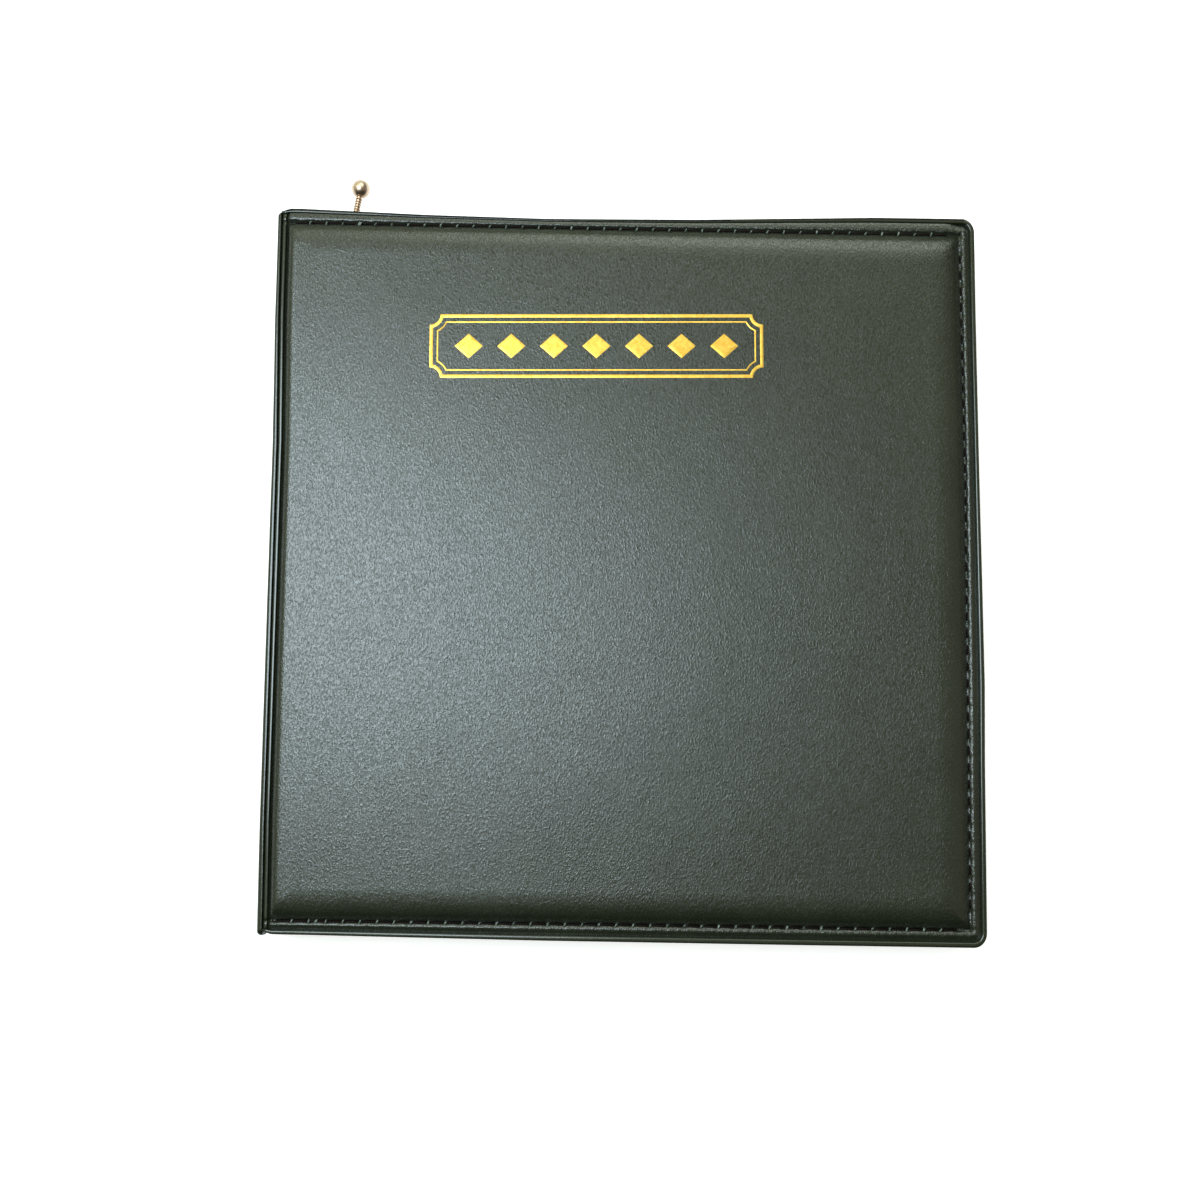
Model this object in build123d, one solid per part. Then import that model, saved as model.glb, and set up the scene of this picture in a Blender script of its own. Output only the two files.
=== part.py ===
from build123d import *
import math
import os

# Travel word tile game case: a flexible folio of two padded covers and a stiffened spine, with a
# playing board inside the back cover and the racks, tiles and score pad carried by the front one.
# Millimetres. X runs from the spine (-X) to the fore-edge (+X), Y from the tail to the head edge,
# Z from the outer face of the back cover to the outer face of the front cover, case closed.

# Overall size; the thickness follows below from what lies between the covers
case_width = 224.0
case_height = 230.0
contents_gap = 1.7

# Cover laminate, from the outer face inwards
skin_t = 0.8
foam_t = 1.8
stiffener_t = 1.4
lining_t = 0.4
cover_t = skin_t + foam_t + stiffener_t + lining_t
margin_z = cover_t - lining_t - skin_t

# Cover outline, sewn margin and raised rim
corner_r = 4.0
rim_width = 1.4
rim_rise = 1.0
rim_fillet = 0.45
stitch_inset = 4.6
field_inset = 5.8
field_corner_r = 6.0
shoulder_run = 8.0
shoulder_foot_z = 1.9
crown_corner_r = 4.0

# Hinges between the spine and each cover
hinge_r = 1.2
hinge_clearance = 0.05
ridge_offset = 2.0
ridge_width = 1.2
ridge_rise = 0.8
ridge_fillet = 0.35
hinge_to_field = 5.4

# Spine
spine_inset = 0.5
spine_board_t = 1.2
spine_gap = 0.1

# Thread
stitch_pitch = 5.25
stitch_length = 3.6
thread_width = 0.7
thread_height = 0.35
stitch_end_gap = 3.0

# Foil ornament on the front cover
ornament_width = 106.2
ornament_height = 20.7
ornament_from_spine = 49.65
ornament_from_head = 43.7
ornament_turn = 0.66
ornament_line = 1.1
ornament_notch_r = 3.4
inner_line = 0.5
inner_gap = 1.2
lozenge_count = 7
lozenge_width = 9.0
lozenge_height = 8.0
deboss_depth = 0.25
foil_t = 0.15

# Playing board, as wide as the gutter beside the spine leaves it
gutter_width = 28.0
cell_count = 15
rib_width = 0.8
rib_height = 1.4
board_rim = 4.1
board_plate_t = 1.6
board_print_t = 0.2
print_inset = 1.5
board_fore_gap = 7.0

# Letter tiles and their pouch
tile_play = 0.2
tile_t = 3.2
tile_gap = 0.6
tile_columns = 7
tiles_per_layer = 50
tile_layers = 2
pouch_from_fore_edge = 9.0
pouch_y = 2.0
pouch_play_x = 3.0
pouch_play_y = 2.2
pouch_wall = 0.7
pouch_corner_r = 5.0
flap_length = 34.0
flap_corner_r = 8.0
stud_r = 5.0
stud_cap_t = 0.9
stud_post_r = 1.6
stud_from_edge = 8.0
pouch_pocket_to_flap = 6.9

# Clearance of what slides in a pocket, strap or loop, and the pocket sheet
slide_clearance = 0.3
pocket_t = 0.6

# Score pad
pad_width = 148.0
pad_height = 92.0
pad_from_fore_edge = 21.0
pad_y = -102.0
sheets_t = 3.8
backing_t = 0.8
binding_t = 0.4
binding_reach = 12.0
pad_pocket_length = 106.0
thumb_notch_r = 13.0

# Tile racks and their elastic straps
rack_count = 4
rack_width = 17.0
rack_length = 98.0
rack_height = 8.5
rack_from_board_edge = 4.0
rack_y = 4.0
rack_floor = 2.2
rack_lip_height = 4.6
rack_lip_width = 2.0
rack_lip_slope = 0.8
rack_channel_width = 6.2
rack_back_top = 2.4
strap_t = 0.8
strap_width = 10.0
strap_tab = 6.0
strap_positions = [12.0, 68.0]

# Pen
pen_tilt = 9.3
pen_length = 106.0
pen_from_spine = 23.6
pen_past_head = 13.3
ball_r = 3.0
neck_r = 1.2
neck_length = 9.0
neck_rib_pitch = 0.65
neck_groove = 0.25
neck_core_r = 0.95
barrel_r = 1.7
barrel_bore_r = 1.2
nose_length = 12.0
nose_tip_r = 0.9
refill_r = 0.5
refill_length = 60.0
refill_reach = 0.8
plug_length = 6.0
fit_clearance = 0.05
loop_t = 0.6
loop_width = 9.0
loop_foot = 4.5
loop_positions = [28.0, 74.0]

# Places that follow from the sizes above
board_height = board_plate_t + board_print_t + rib_height
rack_depth = slide_clearance + rack_height + slide_clearance + strap_t
pouch_t = 2 * pouch_wall + tile_layers * tile_t + fit_clearance
pouch_depth = slide_clearance + pouch_t + pouch_wall + stud_cap_t
pad_t = sheets_t + backing_t + 2 * binding_t
pad_depth = slide_clearance + pad_t + slide_clearance + pocket_t
contents_depth = max(rack_depth, pouch_depth, pad_depth)
case_thickness = 2 * cover_t + board_height + contents_gap + contents_depth
half_width = case_width / 2
half_height = case_height / 2
hinge_x = -half_width + hinge_r
hinge_z = cover_t - lining_t - skin_t / 2
front_hinge_z = case_thickness - hinge_z
field_x0 = hinge_x + hinge_to_field
field_x1 = half_width - field_inset
field_half_y = half_height - field_inset
inner_floor_z = cover_t
inner_roof_z = case_thickness - cover_t
mid_plane = Plane.XY.offset(case_thickness / 2)
ornament_x = ornament_from_spine + ornament_width / 2 - half_width
ornament_y = half_height - ornament_from_head
board_x0 = gutter_width - half_width
board_x1 = half_width - board_fore_gap
board_size = board_x1 - board_x0
cell_pitch = (board_size - 2 * board_rim - rib_width) / cell_count
tile_size = cell_pitch - rib_width - tile_play
tile_step = tile_size + tile_gap
tile_rows = math.ceil(tiles_per_layer / tile_columns)
pouch_width = tile_columns * tile_step - tile_gap + 2 * (pouch_wall + pouch_play_x)
pouch_length = tile_rows * tile_step - tile_gap + 2 * (pouch_wall + pouch_play_y)
pouch_x = half_width - pouch_from_fore_edge - pouch_width
pouch_z1 = inner_roof_z - slide_clearance
pouch_z0 = pouch_z1 - pouch_t
rack_x = board_x0 + rack_from_board_edge
rack_z1 = inner_roof_z - slide_clearance
rack_pitch = rack_width + 2 * slide_clearance + 2 * strap_t
pad_x = half_width - pad_from_fore_edge - pad_width
pad_z1 = inner_roof_z - slide_clearance - binding_t
pad_z0 = pad_z1 - backing_t - sheets_t
pen_ball_x = pen_from_spine - half_width
pen_ball_y = half_height + pen_past_head
pen_axis_z = inner_floor_z + loop_t + slide_clearance + barrel_r


def block(x0, x1, y0, y1, z0, z1):
    # A box given by its lowest and highest corners.
    centre = Pos((x0 + x1) / 2, (y0 + y1) / 2, (z0 + z1) / 2)
    return centre * Box(x1 - x0, y1 - y0, z1 - z0)


def save(node, shape):
    export_step(shape, "parts/" + node + ".step")
    return shape


def group(solids):
    return Compound(children=list(solids))


def cover_outline(inset, x0, z0, z1):
    # Plate of the cover's outline, straight at the hinge and rounded at the two fore-edge corners.
    plate = block(x0, half_width - inset, inset - half_height, half_height - inset, z0, z1)
    corners = plate.edges().filter_by(Axis.Z).group_by(Axis.X)[-1]
    return fillet(corners, corner_r - inset)


def pillow(inset, foot_z, crown_z, base_z):
    # Padded form: upright sides from base_z to foot_z, then a sloping shoulder up to the crown.
    width = field_x1 - field_x0 - 2 * inset
    height = 2 * (field_half_y - inset)
    run = shoulder_run - inset
    centre_x = (field_x0 + field_x1) / 2
    foot = RectangleRounded(width, height, field_corner_r - inset)
    crown = RectangleRounded(width - 2 * run, height - 2 * run, crown_corner_r)
    side = Pos(centre_x, 0, foot_z) * extrude(foot, base_z - foot_z)
    slope = loft([Pos(centre_x, 0, crown_z) * crown, Pos(centre_x, 0, foot_z) * foot], ruled=True)
    return side + slope


def hinge_rod(radius):
    # Rod along the back hinge axis.
    return Pos(hinge_x, 0, hinge_z) * Rot(90, 0, 0) * Cylinder(radius, case_height)


def rim_bead():
    z0 = margin_z - rim_rise
    z1 = cover_t - lining_t
    outer = cover_outline(0, hinge_x, z0, z1)
    ring = outer - cover_outline(rim_width, hinge_x - rim_width, z0, z1)
    return fillet(ring.edges().group_by(Axis.Z)[0], rim_fillet)


def hinge_ridge():
    x0 = hinge_x + ridge_offset
    reach = half_height - rim_width / 2
    ridge = block(x0, x0 + ridge_width, -reach, reach, margin_z - ridge_rise, cover_t - lining_t)
    crest = ridge.edges().filter_by(Axis.Y).group_by(Axis.Z)[0]
    return fillet(crest, ridge_fillet)


def cover_skin():
    margin = cover_outline(0, hinge_x, margin_z, cover_t - lining_t)
    outside = pillow(0, shoulder_foot_z, 0, cover_t - lining_t)
    inside = cushion_space()
    socket = hinge_rod(hinge_r + hinge_clearance)
    return margin + outside + rim_bead() + hinge_ridge() - inside - socket


def cushion_space():
    return pillow(skin_t, skin_t + foam_t, skin_t, cover_t - lining_t)


def cover_foam():
    sheet = block(field_x0, field_x1, -field_half_y, field_half_y, 0, skin_t + foam_t)
    return cushion_space() & sheet


def cover_stiffener():
    z0 = skin_t + foam_t
    sheet = block(field_x0, field_x1, -field_half_y, field_half_y, z0, cover_t - lining_t)
    return cushion_space() & sheet


def cover_lining():
    sheet = cover_outline(0, hinge_x, cover_t - lining_t, cover_t)
    return sheet - hinge_rod(hinge_r + hinge_clearance)


def stitch(x, y, z, turn):
    return Pos(x, y, z) * Rot(0, 0, turn) * Box(stitch_length, thread_width, thread_height)


def stitch_places(length):
    # Evenly spaced places along a run of the given length, centred on it.
    count = int(length / stitch_pitch)
    first = -(count - 1) * stitch_pitch / 2
    return [first + i * stitch_pitch for i in range(count)]


def cover_stitching(z):
    # Threads lying on the sewn margin, centred at height z.
    seam_y = half_height - stitch_inset
    seam_x = half_width - stitch_inset
    seam_start = hinge_x + ridge_offset + ridge_width
    along_x = stitch_places(seam_x - stitch_end_gap - seam_start)
    middle_x = (seam_start + seam_x - stitch_end_gap) / 2
    along_y = stitch_places(2 * (seam_y - stitch_end_gap))
    threads = [stitch(middle_x + p, side * seam_y, z, 0) for side in (-1, 1) for p in along_x]
    threads += [stitch(seam_x, p, z, 90) for p in along_y]
    return group(threads)


def ornament_sketch():
    # Cartouche of two rules with scooped corners, round a row of lozenges.
    corners = [(sx * ornament_width / 2, sy * ornament_height / 2) for sx in (-1, 1) for sy in (-1, 1)]

    def panel(inset):
        plate = Rectangle(ornament_width - 2 * inset, ornament_height - 2 * inset)
        for corner in corners:
            plate -= Pos(*corner) * Circle(ornament_notch_r + inset)
        return plate

    inner_inset = ornament_line + inner_gap
    rules = (panel(0) - panel(ornament_line)) + (panel(inner_inset) - panel(inner_inset + inner_line))
    pitch = (ornament_width - 2 * (inner_inset + ornament_notch_r)) / lozenge_count
    for i in range(lozenge_count):
        lozenge = Polygon((-lozenge_width / 2, 0), (0, -lozenge_height / 2),
                          (lozenge_width / 2, 0), (0, lozenge_height / 2))
        rules += Pos((i - (lozenge_count - 1) / 2) * pitch, 0) * lozenge
    return Pos(ornament_x, ornament_y) * Rot(0, 0, ornament_turn) * rules


def front(shape):
    # The front cover is the back one mirrored through the middle of the closed case.
    return mirror(shape, about=mid_plane)


def spine_skin():
    reach = half_height - spine_inset
    plate = block(-half_width, -half_width + skin_t, -reach, reach, hinge_z, front_hinge_z)
    for z in (hinge_z, front_hinge_z):
        plate += Pos(hinge_x, 0, z) * Rot(90, 0, 0) * Cylinder(hinge_r, 2 * reach)
    return plate


def spine_sheet(x0, x1):
    reach = half_height - spine_inset
    z0 = hinge_z + hinge_r + spine_gap
    z1 = front_hinge_z - hinge_r - spine_gap
    return block(x0, x1, -reach, reach, z0, z1)


def board_square(inset, z0, z1):
    reach = board_size / 2 - inset
    return block(board_x0 + inset, board_x1 - inset, -reach, reach, z0, z1)


def board_grid():
    z0 = inner_floor_z + board_plate_t + board_print_t
    cell = cell_pitch - rib_width
    cells = GridLocations(cell_pitch, cell_pitch, cell_count, cell_count) * Rectangle(cell, cell)
    grid = Rectangle(board_size, board_size) - cells
    return Pos((board_x0 + board_x1) / 2, 0, z0) * extrude(grid, rib_height)


def pen_part(shape):
    # From the pen's own frame, with its tip at the origin and its axis along +Y, to its place.
    run = pen_length - ball_r
    lean = math.radians(pen_tilt)
    tip_x = pen_ball_x - run * math.sin(lean)
    tip_y = pen_ball_y - run * math.cos(lean)
    return Pos(tip_x, tip_y, pen_axis_z) * Rot(0, 0, -pen_tilt) * shape


def rod(y0, y1, radius):
    return Pos(0, (y0 + y1) / 2, 0) * Rot(90, 0, 0) * Cylinder(radius, y1 - y0)


def pen_finial():
    ball_y = pen_length - ball_r
    neck_y1 = pen_length - 2 * ball_r + fit_clearance
    neck_y0 = neck_y1 - neck_length
    finial = rod(neck_y0 - plug_length, neck_y0, barrel_bore_r - fit_clearance)
    finial += rod(neck_y0, neck_y1 + ball_r / 2, neck_core_r)
    for i in range(int(neck_length / neck_rib_pitch)):
        rib_y = neck_y0 + i * neck_rib_pitch
        finial += rod(rib_y, rib_y + neck_rib_pitch - neck_groove, neck_r)
    return finial + Pos(0, ball_y, 0) * Sphere(ball_r)


def pen_barrel():
    y1 = pen_length - 2 * ball_r + fit_clearance - neck_length
    return rod(nose_length, y1, barrel_r) - rod(nose_length, y1, barrel_bore_r)


def pen_nose():
    cone = Pos(0, nose_length / 2, 0) * Rot(-90, 0, 0) * Cone(nose_tip_r, barrel_r, nose_length)
    spigot = rod(nose_length, nose_length + plug_length, barrel_bore_r - fit_clearance)
    return cone + spigot - rod(0, nose_length + plug_length, refill_r + fit_clearance)


def pen_refill():
    return rod(-refill_reach, refill_length, refill_r)


def pen_loop(y):
    bore = barrel_r + slide_clearance
    half_foot = bore + loop_t + loop_foot
    ring = rod(y, y + loop_width, bore + loop_t)
    foot_z = inner_floor_z - pen_axis_z
    ring += block(-half_foot, half_foot, y, y + loop_width, foot_z, foot_z + loop_t)
    return ring - rod(y, y + loop_width, bore)


def rack(index):
    x0 = rack_x + index * rack_pitch
    root_x = rack_lip_width + rack_channel_width
    profile = Polygon((0, 0), (rack_width, 0), (rack_width, rack_height),
                      (rack_width - rack_back_top, rack_height), (root_x, rack_floor),
                      (rack_lip_width + rack_lip_slope, rack_floor), (rack_lip_width, rack_lip_height),
                      (0, rack_lip_height), align=None)
    bar = extrude(Plane.XZ * profile, -rack_length)
    return Pos(x0, rack_y, rack_z1) * mirror(bar, about=Plane.XY)


def rack_strap(y):
    x0 = rack_x - slide_clearance - strap_t
    x1 = rack_x + (rack_count - 1) * rack_pitch + rack_width + slide_clearance + strap_t
    z0 = rack_z1 - rack_height - slide_clearance - strap_t
    strap = block(x0, x1, y, y + strap_width, z0, inner_roof_z)
    strap += block(x0 - strap_tab, x1 + strap_tab, y, y + strap_width, inner_roof_z - strap_t, inner_roof_z)
    for i in range(rack_count):
        left = rack_x + i * rack_pitch - slide_clearance
        right = left + rack_width + 2 * slide_clearance
        strap -= block(left, right, y, y + strap_width, z0 + strap_t, inner_roof_z)
    return strap


def rounded_sheet(x0, x1, y0, y1, z0, z1, radius):
    return fillet(block(x0, x1, y0, y1, z0, z1).edges().filter_by(Axis.Z), radius)


def tile_pouch():
    x1 = pouch_x + pouch_width
    y1 = pouch_y + pouch_length
    shell = rounded_sheet(pouch_x, x1, pouch_y, y1, pouch_z0, pouch_z1, pouch_corner_r)
    inner_r = pouch_corner_r - pouch_wall
    room = rounded_sheet(pouch_x + pouch_wall, x1 - pouch_wall, pouch_y + pouch_wall, y1 - pouch_wall,
                         pouch_z0 + pouch_wall, pouch_z1 - pouch_wall, inner_r)
    return shell - room - stud_hole()


def pouch_flap():
    x0 = pouch_x + pouch_corner_r
    x1 = pouch_x + pouch_width - pouch_corner_r
    y1 = pouch_y + pouch_length
    face = block(x0, x1, y1 - flap_length, y1 + pouch_wall, pouch_z0 - pouch_wall, pouch_z0)
    face = fillet(face.edges().filter_by(Axis.Z).group_by(Axis.Y)[0], flap_corner_r)
    turn = block(x0, x1, y1, y1 + pouch_wall, pouch_z0, pouch_z1)
    return face + turn - stud_hole()


def stud_centre():
    return Pos(pouch_x + pouch_width / 2, pouch_y + pouch_length - flap_length + stud_from_edge)


def stud_hole():
    hole = Cylinder(stud_post_r + fit_clearance, 4 * pouch_wall)
    return stud_centre() * Pos(0, 0, pouch_z0) * hole


def stud_post():
    return stud_centre() * Pos(0, 0, pouch_z0) * Cylinder(stud_post_r, 2 * pouch_wall)


def stud_cap():
    cap = Cylinder(stud_r, stud_cap_t)
    rim = cap.edges().filter_by(GeomType.CIRCLE).group_by(Axis.Z)[0]
    cap = fillet(rim, stud_cap_t / 2)
    return stud_centre() * Pos(0, 0, pouch_z0 - pouch_wall - stud_cap_t / 2) * cap


def letter_tiles():
    x0 = pouch_x + pouch_wall + pouch_play_x
    y0 = pouch_y + pouch_wall + pouch_play_y
    tiles = []
    for layer in range(tile_layers):
        z = pouch_z1 - pouch_wall - (layer + 1) * tile_t
        for i in range(tiles_per_layer):
            x = x0 + (i % tile_columns) * tile_step
            y = y0 + (i // tile_columns) * tile_step
            tiles.append(block(x, x + tile_size, y, y + tile_size, z, z + tile_t))
    return tiles


def pouch_pocket():
    # Patch pocket, open towards the head edge, so that the pouch draws out past that edge.
    gap = slide_clearance
    x0 = pouch_x - gap - pocket_t
    x1 = pouch_x + pouch_width + gap + pocket_t
    y0 = pouch_y - gap - pocket_t
    y1 = pouch_y + pouch_length - flap_length - pouch_pocket_to_flap
    z0 = pouch_z0 - gap - pocket_t
    patch = block(x0, x1, y0, y1, z0, inner_roof_z)
    return patch - block(x0 + pocket_t, x1 - pocket_t, y0 + pocket_t, y1, z0 + pocket_t, inner_roof_z)


def pad_layer(x0, x1, z0, z1):
    return block(x0, x1, pad_y, pad_y + pad_height, z0, z1)


def pad_binding():
    # Folded strip over the pad's spine-side edge.
    wrap = pad_layer(pad_x - binding_t, pad_x + binding_reach, pad_z0 - binding_t, pad_z1 + binding_t)
    return wrap - pad_layer(pad_x, pad_x + binding_reach, pad_z0, pad_z1)


def pad_pocket():
    # Patch pocket, open towards the fore-edge, with a thumb notch in its mouth.
    gap = slide_clearance
    x0 = pad_x - binding_t - gap - pocket_t
    x1 = x0 + pad_pocket_length
    y0 = pad_y - gap - pocket_t
    y1 = pad_y + pad_height + gap + pocket_t
    z0 = pad_z0 - binding_t - gap - pocket_t
    patch = block(x0, x1, y0, y1, z0, inner_roof_z)
    patch -= block(x0 + pocket_t, x1, y0 + pocket_t, y1 - pocket_t, z0 + pocket_t, inner_roof_z)
    notch = Pos(x1, (y0 + y1) / 2, z0 + pocket_t / 2) * Cylinder(thumb_notch_r, pocket_t)
    return patch - notch


os.makedirs("parts", exist_ok=True)

# Covers
skin = cover_skin()
sketch = ornament_sketch()
ornament_z = case_thickness - deboss_depth
save("back_skin", skin)
save("front_skin", front(skin) - Pos(0, 0, ornament_z) * extrude(sketch, deboss_depth))
save("gilt_ornament", Pos(0, 0, ornament_z) * extrude(sketch, foil_t))
for layer, shape in (("foam", cover_foam()), ("stiffener", cover_stiffener()), ("lining", cover_lining())):
    save("back_" + layer, shape)
    save("front_" + layer, front(shape))
thread_z = margin_z - thread_height / 2
save("back_stitching", cover_stitching(thread_z))
save("front_stitching", cover_stitching(case_thickness - thread_z))

# Spine
spine_x1 = -half_width + skin_t
spine_x2 = spine_x1 + spine_board_t
save("spine_skin", spine_skin())
save("spine_stiffener", spine_sheet(spine_x1, spine_x2))
save("spine_lining", spine_sheet(spine_x2, spine_x2 + lining_t))

# Playing board
board_z1 = inner_floor_z + board_plate_t
save("board_plate", board_square(0, inner_floor_z, board_z1))
save("board_print", board_square(print_inset, board_z1, board_z1 + board_print_t))
save("board_grid", board_grid())

# Pen and its loops
save("pen_finial", pen_part(pen_finial()))
save("pen_barrel", pen_part(pen_barrel()))
save("pen_nose", pen_part(pen_nose()))
save("pen_refill", pen_part(pen_refill()))
save("pen_loop_lower", pen_part(pen_loop(loop_positions[0])))
save("pen_loop_upper", pen_part(pen_loop(loop_positions[1])))

# Racks and straps
for i in range(rack_count):
    save("tile_rack_" + str(i + 1), rack(i))
save("rack_strap_lower", rack_strap(rack_y + strap_positions[0]))
save("rack_strap_upper", rack_strap(rack_y + strap_positions[1]))

# Pouch of tiles
save("tile_pouch", tile_pouch())
save("pouch_flap", pouch_flap())
save("pouch_stud_post", stud_post())
save("pouch_stud_cap", stud_cap())
save("letter_tiles", group(letter_tiles()))
save("pouch_pocket", pouch_pocket())

# Score pad
save("score_pad_sheets", pad_layer(pad_x, pad_x + pad_width, pad_z0, pad_z0 + sheets_t))
save("score_pad_backing", pad_layer(pad_x, pad_x + pad_width, pad_z0 + sheets_t, pad_z1))
save("score_pad_binding", pad_binding())
save("pad_pocket", pad_pocket())
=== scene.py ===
import bpy, bmesh, math
import numpy as np
from mathutils import Matrix, Vector, noise
from mathutils.bvhtree import BVHTree


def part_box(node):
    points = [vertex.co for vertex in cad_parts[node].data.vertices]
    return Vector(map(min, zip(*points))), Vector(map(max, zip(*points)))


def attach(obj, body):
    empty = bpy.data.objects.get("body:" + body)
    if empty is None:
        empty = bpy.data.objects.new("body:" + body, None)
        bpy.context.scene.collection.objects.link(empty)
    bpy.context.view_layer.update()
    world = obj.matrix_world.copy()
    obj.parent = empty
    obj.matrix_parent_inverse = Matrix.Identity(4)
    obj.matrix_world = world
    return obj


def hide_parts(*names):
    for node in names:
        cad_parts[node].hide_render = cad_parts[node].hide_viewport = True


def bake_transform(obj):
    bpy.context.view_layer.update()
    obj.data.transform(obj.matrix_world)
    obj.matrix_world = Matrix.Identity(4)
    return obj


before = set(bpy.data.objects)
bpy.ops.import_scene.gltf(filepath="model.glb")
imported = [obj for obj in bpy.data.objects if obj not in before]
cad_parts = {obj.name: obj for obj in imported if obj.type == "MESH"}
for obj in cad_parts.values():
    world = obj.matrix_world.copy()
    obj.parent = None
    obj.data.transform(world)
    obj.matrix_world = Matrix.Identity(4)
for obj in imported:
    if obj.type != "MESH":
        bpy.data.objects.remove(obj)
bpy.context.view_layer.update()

scene = bpy.context.scene
scene.view_settings.view_transform = "Standard"
mm = 0.001
print("frame loaded:", len(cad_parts), "nodes")


# sizes that the pieces share, in millimetres, read from the frame

def boxOf(node):
    # low and high corner of a frame node's box
    return [np.array(corner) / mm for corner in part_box(node)]


halfWidth, halfHeight, caseThick = boxOf("front_skin")[1]
hinge = dict(inset=1.2, depth=3.6, radius=1.2, spread=0.9, shallow=2.9, deep=4.6)
hingeX, hingeDepth, rollRadius = -halfWidth + hinge["inset"], hinge["depth"], hinge["radius"]
penTilt = 9.3   # degrees in plan, from the head direction towards the fore edge


# small helpers

def hexColour(text):
    # sRGB hex to linear RGBA
    parts = [int(text[i:i + 2], 16) / 255 for i in (1, 3, 5)]
    return tuple(c / 12.92 if c <= 0.04045 else ((c + 0.055) / 1.055) ** 2.4 for c in parts) + (1.0,)


def setInputs(tree, node, links):
    # each input, by name or number, gets a value, a socket or another node's first output
    for key, value in links.items():
        if isinstance(value, bpy.types.Node):
            value = value.outputs[0]
        if isinstance(value, bpy.types.NodeSocket):
            tree.links.new(value, node.inputs[key])
        else:
            node.inputs[key].default_value = value


def addNode(tree, kind, links=None, stops=(), **settings):
    # one node with its settings and links; a colour ramp also gets its stops of place and colour
    node = tree.nodes.new(kind)
    for key, value in settings.items():
        setattr(node, key, value)
    for number, (place, colour) in enumerate(stops):
        elements = node.color_ramp.elements
        element = elements[number] if number < len(elements) else elements.new(0.5)
        element.position = place
        element.color = hexColour(colour) if isinstance(colour, str) else (colour,) * 3 + (1,)
    setInputs(tree, node, links or {})
    return node


def newMaterial(name):
    material = bpy.data.materials.new(name)
    material.use_nodes = True
    tree = material.node_tree
    tree.nodes.clear()
    shader = addNode(tree, "ShaderNodeBsdfPrincipled")
    addNode(tree, "ShaderNodeOutputMaterial", {"Surface": shader}, name="output")
    return material, tree, shader


def makePiece(name, points, faces, material, smooth=True, sharp=None):
    # mesh object from millimetre points, with its place in the mesh
    mesh = bpy.data.meshes.new(name)
    mesh.from_pydata((np.asarray(points, float) * mm).tolist(), [], [tuple(int(i) for i in f) for f in faces])
    mesh.validate()
    mesh.materials.append(material)
    piece = bpy.data.objects.new(name, mesh)
    scene.collection.objects.link(piece)
    if smooth:
        mesh.shade_smooth()
    if sharp:
        mesh.set_sharp_from_angle(angle=math.radians(sharp))
    return piece


def placesOf(mesh):
    # the places of a mesh's points, in millimetres
    places = np.empty(len(mesh.vertices) * 3, np.float32)
    mesh.vertices.foreach_get("co", places)
    return places.astype(float).reshape(-1, 3) / mm


def storeValues(piece, name, values):
    # one number or one vector for each point, under a name that a material reads
    values = np.asarray(values, np.float32)
    kind, field = ("FLOAT_VECTOR", "vector") if values.ndim > 1 else ("FLOAT", "value")
    piece.data.attributes.new(name, kind, "POINT").data.foreach_set(field, values.ravel())


def bakeModifiers(piece):
    # the evaluated mesh replaces the piece's own, and no modifier is left
    graph = bpy.context.evaluated_depsgraph_get()
    mesh = bpy.data.meshes.new_from_object(piece.evaluated_get(graph))
    piece.modifiers.clear()
    old, piece.data = piece.data, mesh
    bpy.data.meshes.remove(old)
    return piece


def newGeometryTree(name, source, result, inputs):
    # a geometry nodes tree from one geometry to another, with its named inputs and their defaults
    tree = bpy.data.node_groups.new(name, "GeometryNodeTree")
    tree.interface.new_socket(source, in_out="INPUT", socket_type="NodeSocketGeometry")
    for label, (kind, value) in inputs.items():
        socket = tree.interface.new_socket(label, in_out="INPUT", socket_type="NodeSocket" + kind)
        if value is not None:
            socket.default_value = value
    tree.interface.new_socket(result, in_out="OUTPUT", socket_type="NodeSocketGeometry")
    return tree, addNode(tree, "NodeGroupInput").outputs


def applyTree(piece, tree, values):
    # the tree's inputs are set by identifier, and its result is baked into a plain mesh
    modifier = piece.modifiers.new(tree.name, "NODES")
    modifier.node_group = tree
    for item in tree.interface.items_tree:
        if item.in_out == "INPUT" and item.name in values:
            modifier[item.identifier] = values[item.name]
    return bakeModifiers(piece)


def smoothStep(low, high, value):
    t = np.clip((value - low) / (high - low), 0, 1)
    return t * t * (3 - 2 * t)


def bell(distance, width):
    # a smooth hump, 1 at its middle and all but gone at twice its width
    return np.exp(-(distance / width) ** 2)


def quarterRound(share):
    # falls from 1 to 0 over a run, as a quarter circle does, steeply at first
    return 1 - np.sqrt(np.clip(1 - (1 - np.clip(share, 0, 1)) ** 2, 0, 1))


def softNoise(x, y, size, seed=0.0):
    # gentle unevenness between -1 and 1, over features of the given size
    flat = [noise.noise(Vector((a / size, b / size, seed))) for a, b in zip(np.ravel(x), np.ravel(y))]
    return np.array(flat).reshape(np.shape(x))


# camera, floor and lights

view = dict(place=(-6.52, -57.09, 489.96), turn=(5.777, 0.013, 0.669), lens=45.0)

camera = bpy.data.objects.new("camera", bpy.data.cameras.new("camera"))
scene.collection.objects.link(camera)
camera.location = [c * mm for c in view["place"]]
camera.rotation_euler = [math.radians(a) for a in view["turn"]]
camera.data.lens = view["lens"]
camera.data.sensor_width = 36.0
camera.data.clip_start, camera.data.clip_end = 0.01, 60.0
scene.camera = camera

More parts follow.
